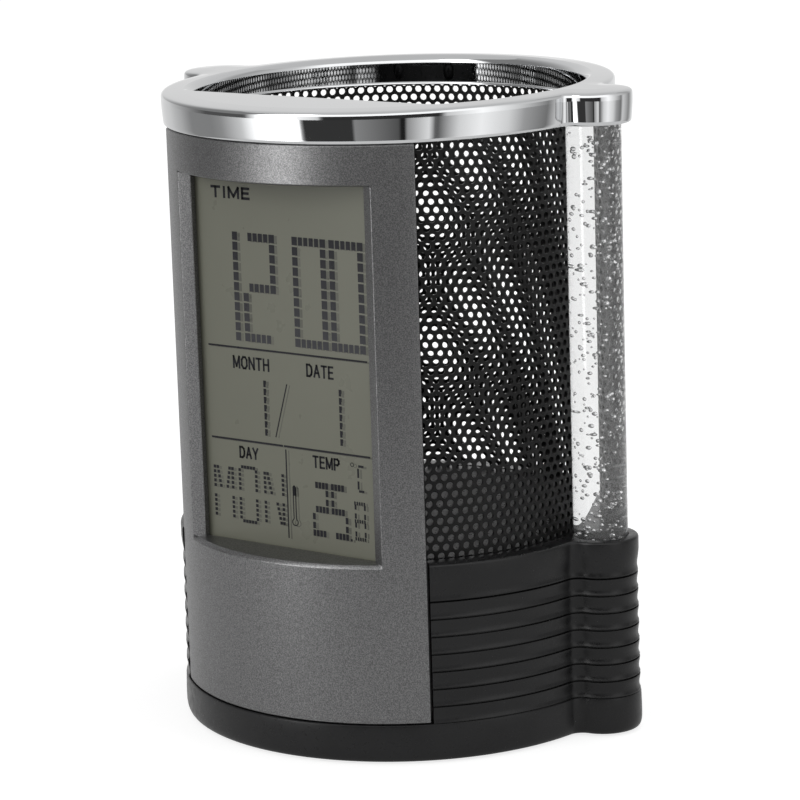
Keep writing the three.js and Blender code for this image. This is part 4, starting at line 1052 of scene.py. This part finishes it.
PLINTH_PLAN = (PLINTH_RADIUS, 6.675, 2.0)
PLINTH_PROFILE = [
    (0.0, 0.8), (0.08, 0.58), (0.22, 0.4), (0.42, 0.26), (0.7, 0.15), (1.05, 0.07), (1.5, 0.02), (2.0, 0.0),
    (3.0, 0.0), (4.5, 0.04), (6.2, 0.1), (6.38, 0.15), (6.5, 0.3),
]
TRAY_FLOOR = 3.0
TRAY_WALL = 2.4
POCKET_HALF_WIDTH = 10.95
POCKET_FRONT, POCKET_BACK = -17.6, 32.6
POCKET_WALL = 1.5
DOOR_HALF_WIDTH = 11.6
DOOR_REACH = 45.0
DOOR_INSET = 0.02
TONGUE_REACH = 1.6
TONGUE_THICKNESS = 0.65
RUNNING_GAP = 0.25
FOOT_RADIUS = 4.0
SCREW_SINK_RADIUS = 2.4
SCREW_HOLE_RADIUS = 1.3
SCREW_HOLE_TOP = 12.0
GRIPS = 5
GRIP_PITCH = 2.2
GRIP_HALF_LENGTH = 5.5
GRIP_RADIUS = 0.5
GRIP_DEPTH = 0.4
FOOT_PROFILE = [(0.0, 0.08), (3.2, 0.08), (3.35, 0.0), (3.7, 0.0), (3.9, 0.08), (FOOT_RADIUS, 0.28)]
FEET = ["front_left_foot", "front_right_foot", "back_left_foot", "back_right_foot"]
TRAY_SCREWS = [f"tray_screw_{i}" for i in range(1, 7)]


def door_tools():
    low, high = corners("battery_door")
    half, front = DOOR_HALF_WIDTH + RUNNING_GAP, low[1] - RUNNING_GAP
    tongue = high[2] - TONGUE_THICKNESS
    return [
        wide_block(half, front, BEYOND, 0.0, tongue - 0.15),
        wide_block(half + TONGUE_REACH, front, BEYOND, tongue - RUNNING_GAP, high[2] + RUNNING_GAP),
    ]


def foot_and_screw_tools():
    tools = []
    for foot in FEET:
        x, y, _ = centre_of(foot)
        tools.append(upright_bar(x, y, FOOT_RADIUS + 0.3, 0.0, corners(foot)[1][2] + SEAM))
    for screw in TRAY_SCREWS:
        x, y, _ = centre_of(screw)
        tools.append(upright_bar(x, y, SCREW_HOLE_RADIUS, 0.0, SCREW_HOLE_TOP, 24))
        tools.append(upright_bar(x, y, SCREW_SINK_RADIUS, 0.0, PLINTH_LOW + 1.5))
    return tools


def make_tray():
    piece = lobed_solid("bottom_tray_shell", PLINTH_LOW, PLINTH_PLAN, PLINTH_PROFILE)
    floor, roof = PLINTH_LOW + TRAY_FLOOR, corners("bottom_tray")[1][2]
    cut(piece, raised("hollow", lobed_outline(*PLINTH_PLAN, TRAY_WALL), floor, PLINTH_HIGH + OVERRUN))
    half, wall = POCKET_HALF_WIDTH, POCKET_WALL
    join(piece, wide_block(half + wall, POCKET_FRONT - wall, POCKET_BACK + wall, floor - OVERRUN, roof))
    cut(piece, wide_block(half, POCKET_FRONT, POCKET_BACK, 0.0, roof - wall), *door_tools(),
        *foot_and_screw_tools())
    return piece


def make_door():
    low, high = corners("battery_door")
    plate = wide_block(DOOR_HALF_WIDTH, low[1], DOOR_REACH, low[2], high[2])
    join(plate, block(low[0], high[0], low[1], DOOR_REACH, high[2] - TONGUE_THICKNESS, high[2]))
    trim = [(rise, inset + DOOR_INSET) for rise, inset in PLINTH_PROFILE]
    keep_within(plate, lobed_solid("trim", PLINTH_LOW, PLINTH_PLAN, trim))
    for i in range(GRIPS):
        y = PLINTH_RADIUS - 5.0 - i * GRIP_PITCH
        ends = arc(GRIP_HALF_LENGTH, y - GRIP_RADIUS, GRIP_RADIUS, -pi / 2, pi / 2, 8)
        cut(plate, raised("grip", mirrored(ends), 0.0, low[2] + GRIP_DEPTH))
    return plate


def make_foot(foot):
    x, y, _ = centre_of(foot)
    top = corners(foot)[1][2]
    profile = FOOT_PROFILE + [(FOOT_RADIUS, top), (0.0, top)]
    return turned(f"{foot}_pad", profile, Matrix.Translation((x, y, 0.0)))


place(make_tray(), "bottom_tray_shell", BLACK, "black_plastic", "bottom_tray", smooth=28.0)
place(make_door(), "battery_door_panel", BLACK, "black_plastic", "battery_door",
      body="battery_door", smooth=28.0)
for foot in FEET:
    place(make_foot(foot), f"{foot}_pad", RUBBER, "rubber", foot)


# ---- Screws with cross recesses

HEAD_HEIGHT = 1.1
HEAD_PROFILE = [(1.9, 0.0), (2.08, 0.12), (2.1, 0.3), (1.95, 0.6), (1.6, 0.88), (1.0, 1.04),
                (0.5, HEAD_HEIGHT), (0.0, HEAD_HEIGHT)]
SHANK_RADIUS = 1.1
CORE_RADIUS = 0.88
TIP_RADIUS = 0.55
TIP_HEIGHT = 0.9
THREAD_PITCH = 0.5
RECESS_LONG, RECESS_SHORT = 1.15, 0.24
RECESS_FLOOR = 0.35


# A screw along Z, with its head's underside at the origin and its shank downwards
def upright_screw(name, length):
    profile = [(0.0, -length), (TIP_RADIUS, -length), (SHANK_RADIUS, -length + TIP_HEIGHT)]
    for turn in range(int((length - 1.6) / THREAD_PITCH)):
        height = -length + 1.0 + turn * THREAD_PITCH
        profile += [(SHANK_RADIUS, height), (CORE_RADIUS, height + THREAD_PITCH / 2)]
    profile += [(SHANK_RADIUS, -0.3), (SHANK_RADIUS, 0.0)] + HEAD_PROFILE
    screw = turned(name, profile, sides=32)
    long, short = (RECESS_LONG, RECESS_LONG * 0.25), (RECESS_SHORT, RECESS_SHORT * 0.9)
    for (x, low_x), (y, low_y) in ((long, short), (short, long)):
        cut(screw, loft("recess", [(RECESS_FLOOR, rectangle(-low_x, low_x, -low_y, low_y)),
                                   (HEAD_HEIGHT + 0.1, rectangle(-x, x, -y, y))]))
    return screw


def make_screw(node, direction):
    low, high = corners(node)
    axis = Vector(direction)
    along = max(range(3), key=lambda i: abs(axis[i]))
    screw = upright_screw(f"{node}_fine", high[along] - low[along] - HEAD_HEIGHT)
    seat = centre_of(node)
    seat[along] = (low if axis[along] < 0 else high)[along] - axis[along] * HEAD_HEIGHT
    turn = axis.to_track_quat("Z", "X").to_matrix().to_4x4()
    screw.data.transform(Matrix.Translation(seat) @ turn)
    return screw


SCREWS = [(name, (0, 0, -1)) for name in TRAY_SCREWS]
SCREWS += [(f"cover_screw_{i}", (0, 1, 0)) for i in range(1, 5)]
SCREWS += [(f"control_screw_{i}", (0, -1, 0)) for i in range(1, 3)]
for name, direction in SCREWS:
    steel = BLACK_STEEL if name.startswith("cover") else STEEL
    place(make_screw(name, direction), f"{name}_fine", steel, "steel", name)


# ---- Rods with the bubbles in them, and their lamps

ROD_SIDES = 128
BUBBLES = 520
BUBBLE_MARGIN = 0.35
BUBBLE_RADII = [0.14, 0.17, 0.21, 0.25, 0.3, 0.35]
BUBBLE_SPACING = 1.5
BUBBLE_STRETCH = 1.1
# Above 1, the bubbles are denser towards the rod's foot
BUBBLE_SINK = 1.25
ROD_EDGE = 0.25
ROD_END = 1.2
LAMP_RADIUS = 2.45
LAMP_FLANGE_RADIUS, LAMP_FLANGE_HEIGHT = 2.9, 1.0


def bubble_places(seed, low, high):
    rng = random.Random(seed)
    places = []
    while len(places) < BUBBLES:
        radius = rng.choice(BUBBLE_RADII) * rng.uniform(0.85, 1.1)
        reach = (ROD_RADIUS - BUBBLE_MARGIN - radius) * sqrt(rng.random())
        turn = rng.uniform(0.0, tau)
        height = low + (high - low) * rng.random() ** BUBBLE_SINK
        spot = Vector((reach * cos(turn), reach * sin(turn), height))
        if all((spot - other).length > (radius + size) * BUBBLE_SPACING for other, size in places):
            places.append((spot, radius))
    return places


# A unit ball whose faces look inwards, the wall of one bubble
def hollow_ball():
    shape = bmesh.new()
    bmesh.ops.create_icosphere(shape, subdivisions=3, radius=1.0)
    shape.verts.index_update()
    verts = [tuple(vert.co) for vert in shape.verts]
    faces = [tuple(vert.index for vert in reversed(face.verts[:])) for face in shape.faces]
    shape.free()
    return verts, faces


def make_rod(x, seed):
    rod = turned("rod", [
        (0.0, ROD_LOW), (ROD_RADIUS - ROD_EDGE, ROD_LOW), (ROD_RADIUS, ROD_LOW + ROD_EDGE),
        (ROD_RADIUS, ROD_HIGH - ROD_EDGE), (ROD_RADIUS - ROD_EDGE, ROD_HIGH), (0.0, ROD_HIGH),
    ], sides=ROD_SIDES)
    verts = [tuple(vert.co) for vert in rod.data.vertices]
    faces = [tuple(face.vertices) for face in rod.data.polygons]
    ball_verts, ball_faces = hollow_ball()
    for spot, radius in bubble_places(seed, ROD_LOW + ROD_END, ROD_HIGH - ROD_END):
        first = len(verts)
        verts += [(spot.x + x * radius, spot.y + y * radius, spot.z + z * radius * BUBBLE_STRETCH)
                  for x, y, z in ball_verts]
        faces += [tuple(first + i for i in face) for face in ball_faces]
    rod.data.clear_geometry()
    rod.data.from_pydata(verts, [], faces)
    rod.data.transform(Matrix.Translation((x, ROD_Y, 0.0)))
    return rod


def make_lamp(node):
    low, high = corners(node)
    x, y, _ = centre_of(node)
    shoulder = low[2] + LAMP_FLANGE_HEIGHT
    profile = [(0.0, low[2]), (LAMP_FLANGE_RADIUS, low[2]), (LAMP_FLANGE_RADIUS, shoulder),
               (LAMP_RADIUS, shoulder)]
    profile += arc(0.0, high[2] - LAMP_RADIUS, LAMP_RADIUS, 0.0, pi / 2, 8)
    profile[-1] = (0.0, high[2])
    return turned(f"{node}_fine", profile, Matrix.Translation((x, y, 0.0)), 32)


for side, way, seed in (("left", -1, 11), ("right", 1, 29)):
    place(make_rod(way * ROD_X, seed), f"{side}_bubble_rod", ACRYLIC, "clear_acrylic",
          f"{side}_rod", smooth=40.0)
    place(make_lamp(f"{side}_lamp"), f"{side}_lamp_fine", MILKY, "white_plastic", f"{side}_lamp")


# ---- Keys and the lamp switch's knob

KEY_FLANGE_RADIUS, KEY_FLANGE = 3.2, 0.7
# Radii of the key's cap, and depths below its highest ring
KEY_CAP = [(2.5, 0.42), (2.44, 0.2), (2.3, 0.06), (2.1, 0.0), (1.7, 0.06), (1.0, 0.17), (0.4, 0.22),
           (0.0, 0.23)]
KNOB_PLATE = 0.5
KNOB_HALF = 1.2
KNOB_GROOVE_PITCH, KNOB_GROOVE_HALF, KNOB_GROOVE_DEPTH = 0.62, 0.13, 0.3


def make_key(node):
    low, high = corners(node)
    x, _, z = centre_of(node)
    flange = low[1] + KEY_FLANGE
    profile = [(0.0, low[1]), (KEY_FLANGE_RADIUS, low[1]), (KEY_FLANGE_RADIUS, flange),
               (KEY_CAP[0][0], flange)]
    profile += [(radius, high[1] - depth) for radius, depth in KEY_CAP]
    turn = Matrix.Translation((x, 0.0, z)) @ Matrix.Rotation(-pi / 2, 4, "X")
    return turned(f"{node}_cap", profile, turn)


def make_knob():
    low, high = corners("lamp_knob")
    x, _, z = centre_of("lamp_knob")
    piece = block(low[0], high[0], low[1], low[1] + KNOB_PLATE, low[2], high[2])
    join(piece, block(x - KNOB_HALF, x + KNOB_HALF, low[1] + 0.1, high[1], z - KNOB_HALF, z + KNOB_HALF))
    round_edges(piece, 0.12, 60.0)
    for i in (-1, 0, 1):
        middle = x + i * KNOB_GROOVE_PITCH
        cut(piece, block(middle - KNOB_GROOVE_HALF, middle + KNOB_GROOVE_HALF,
                         high[1] - KNOB_GROOVE_DEPTH, high[1] + OVERRUN, z - 2.0, z + 2.0))
    return piece


for key in KEYS:
    place(make_key(key), f"{key}_cap", KEY_BLACK, "key_plastic", key, body=key)
place(make_knob(), "lamp_knob_ribbed", KEY_BLACK, "key_plastic", "lamp_knob", body="lamp_knob")


# ---- Solids that stay as they are get their finish

CARRIED = {
    DISPLAY: ["display_glass"], BLACK: ["display_frame", "buzzer", "rear_cover"],
    RUBBER: ["lower_connector_strip", "upper_connector_strip", "chip_cap"], MILKY: ["temperature_sensor"],
    BOARD: ["clock_board", "left_lamp_board", "right_lamp_board", "control_board"],
    WRAP: ["cell_1", "cell_2"],
    STEEL: ["quartz_crystal", "link_contact", "plus_contact", "minus_contact", "mode_switch",
            "set_switch", "down_switch", "up_switch", "lamp_switch_case"],
}
for material, nodes in CARRIED.items():
    for node in nodes:
        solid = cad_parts[node]
        solid.data.materials.clear()
        solid.data.materials.append(material)


# ---- Stage: floor, world, lamps, and the studio that the chrome mirrors

FLOOR_RADIUS = 14000.0
FLOOR_SIDES = 96
RING_SIDES = 180


# 1 for rays from the camera and through clear pieces, a share for mirrored ones, and 0 for the rest
def seen_rays(tree, mirrored_share):
    rays = add_node(tree, "LightPath").outputs
    mirrored = calculate(tree, "MULTIPLY", rays["Is Glossy Ray"], mirrored_share)
    seen = calculate(tree, "MAXIMUM", rays["Is Camera Ray"], mirrored)
    return calculate(tree, "MAXIMUM", seen, rays["Is Transmission Ray"])


def make_world():
    world = bpy.data.worlds.new("studio")
    bpy.context.scene.world = world
    world.use_nodes = True
    tree = world.node_tree
    strength = map_range(tree, seen_rays(tree, 0.5), 0.0, 1.0, 0.5, 1.0)
    set_inputs(tree.nodes["Background"], {"Color": (1.0, 1.0, 1.0, 1.0), "Strength": strength})


def make_floor():
    outline = circle(0.0, 0.0, FLOOR_RADIUS, FLOOR_SIDES)
    floor = add_object("floor", [(x, y, 0.0) for x, y in outline], [tuple(range(FLOOR_SIDES))])
    floor.data.transform(Matrix.Scale(MM, 4))
    material = new_material("pale_floor", (0.45, 0.45, 0.45), 0.8, {SPECULAR: 0.0})
    glow = calculate(material.node_tree, "MULTIPLY", seen_rays(material.node_tree, 0.6), 0.78)
    set_inputs(shader_of(material), {"Emission Color": (1.0, 1.0, 1.0, 1.0), "Emission Strength": glow})
    floor.data.materials.append(material)


# The studio round the object, as bands of a ring that only reflections see. Each tone is an azimuth from
# the front, in degrees towards the right, and the brightness there
RING_RADIUS = 245.0
RING_GAIN = 8.0
RING_BANDS = [
    ("low_ring", 0.0, 12.0, [(-180, 0.8), (180, 0.8)]),
    ("main_ring", 12.0, 84.0, [
        (-180, 0.9), (-122, 0.85), (-99, 0.8), (-85, 0.6), (-74, 0.33), (-57, 0.33), (-50, 0.41), (-37, 0.88),
        (-23, 2.4), (-19, 4.5), (-10, 4.5), (-5, 1.9), (-4, 0.05), (20, 0.05), (21, 0.35), (41, 0.12),
        (42, 0.02), (44, 0.02), (45, 0.42), (55, 1.1), (58, 0.06), (69, 1.0), (80, 1.35), (94, 1.0),
        (103, 0.5), (117, 0.25), (124, 0.9), (150, 0.35), (172, 0.9),
    ]),
    ("high_ring", 84.0, 130.0, [
        (-180, 0.9), (-122, 0.9), (-99, 0.8), (-76, 0.4), (-60, 0.12), (-34, 0.12), (-28, 1.5), (-22, 5.4),
        (-10, 5.4), (-6, 1.5), (4, 1.0), (6, 0.04), (60, 0.04), (63, 0.9), (80, 1.6), (100, 0.9),
        (117, 0.3), (124, 0.9), (150, 0.35), (172, 0.9),
    ]),
    ("top_ring", 130.0, 400.0, [
        (-180, 0.8), (-122, 0.8), (-99, 0.5), (-76, 0.3), (-34, 0.3), (-28, 1.5), (-22, 6.8), (-10, 6.8),
        (-4, 2.0), (4, 1.7), (60, 1.6), (80, 1.6), (100, 0.9), (124, 0.7), (150, 0.5), (172, 0.8),
    ]),
]


def ring_color(tree, tones):
    axes = object_axes(tree)
    front = calculate(tree, "MULTIPLY", axes["Y"], -1.0)
    azimuth = calculate(tree, "ARCTAN2", axes["X"], front)
    share = map_range(tree, azimuth, -pi, pi, 0.0, 1.0)
    return ramp_color(tree, share, [((turn + 180) / 360, [tone / RING_GAIN] * 3) for turn, tone in tones])


def make_ring(name, low, high, tones):
    outline = circle(0.0, 0.0, RING_RADIUS, RING_SIDES)
    verts = [(x, y, z) for z in (low, high) for x, y in outline]
    ring = add_object(name, verts, tube_faces(2, RING_SIDES))
    ring.data.transform(Matrix.Scale(MM, 4))
    material = new_material(name, (0.0, 0.0, 0.0), 0.9, {SPECULAR: 0.0, "Emission Strength": RING_GAIN})
    set_inputs(shader_of(material), {"Emission Color": ring_color(material.node_tree, tones)})
    ring.data.materials.append(material)
    for kind in ("camera", "diffuse", "shadow", "transmission"):
        setattr(ring, f"visible_{kind}", False)


# Round lamps that the chrome doesn't mirror: places and sizes in metres, and powers in watts
LAMP_TARGET = Vector((0.0, 0.0, 0.055))
LAMPS = [
    ("key_lamp", (-0.5, -1.35, 0.7), 0.8, 5.0), ("fill_lamp", (1.4, 0.1, 0.9), 0.8, 3.0),
    ("top_lamp", (0.1, 0.5, 1.5), 1.1, 4.0),
]


def add_lamp(name, location, size, power):
    data = bpy.data.lights.new(name, "AREA")
    data.shape = "DISK"
    data.size = size
    data.energy = power
    lamp = add_to_scene(name, data)
    lamp.location = location
    aim = LAMP_TARGET - Vector(location)
    lamp.rotation_euler = aim.to_track_quat("-Z", "Y").to_euler()
    lamp.visible_glossy = False


# Camera as the photograph's: place in millimetres, turns in degrees
CAMERA_DISTANCE = 563.45
CAMERA_HEIGHT = 174.92
CAMERA_AZIMUTH = 36.592
CAMERA_YAW = -0.043
CAMERA_PITCH = 12.057
CAMERA_ROLL = 1.774
CAMERA_LENS = 146.52
CAMERA_SENSOR = 36.0


def make_camera():
    data = bpy.data.cameras.new("camera")
    data.lens, data.sensor_width = CAMERA_LENS, CAMERA_SENSOR
    data.clip_start, data.clip_end = 0.01, 100.0
    camera = add_to_scene("camera", data)
    azimuth = radians(CAMERA_AZIMUTH)
    spot = Vector((CAMERA_DISTANCE * sin(azimuth), -CAMERA_DISTANCE * cos(azimuth), CAMERA_HEIGHT)) * MM
    matrix = Matrix.Translation(spot)
    for turn, axis in ((CAMERA_AZIMUTH + CAMERA_YAW, "Z"), (90 - CAMERA_PITCH, "X"), (-CAMERA_ROLL, "Z")):
        matrix = matrix @ Matrix.Rotation(radians(turn), 4, axis)
    camera.matrix_world = matrix
    bpy.context.scene.camera = camera


make_world()
make_floor()
for ring in RING_BANDS:
    make_ring(*ring)
for lamp in LAMPS:
    add_lamp(*lamp)
make_camera()
bpy.context.scene.view_settings.view_transform = "Standard"
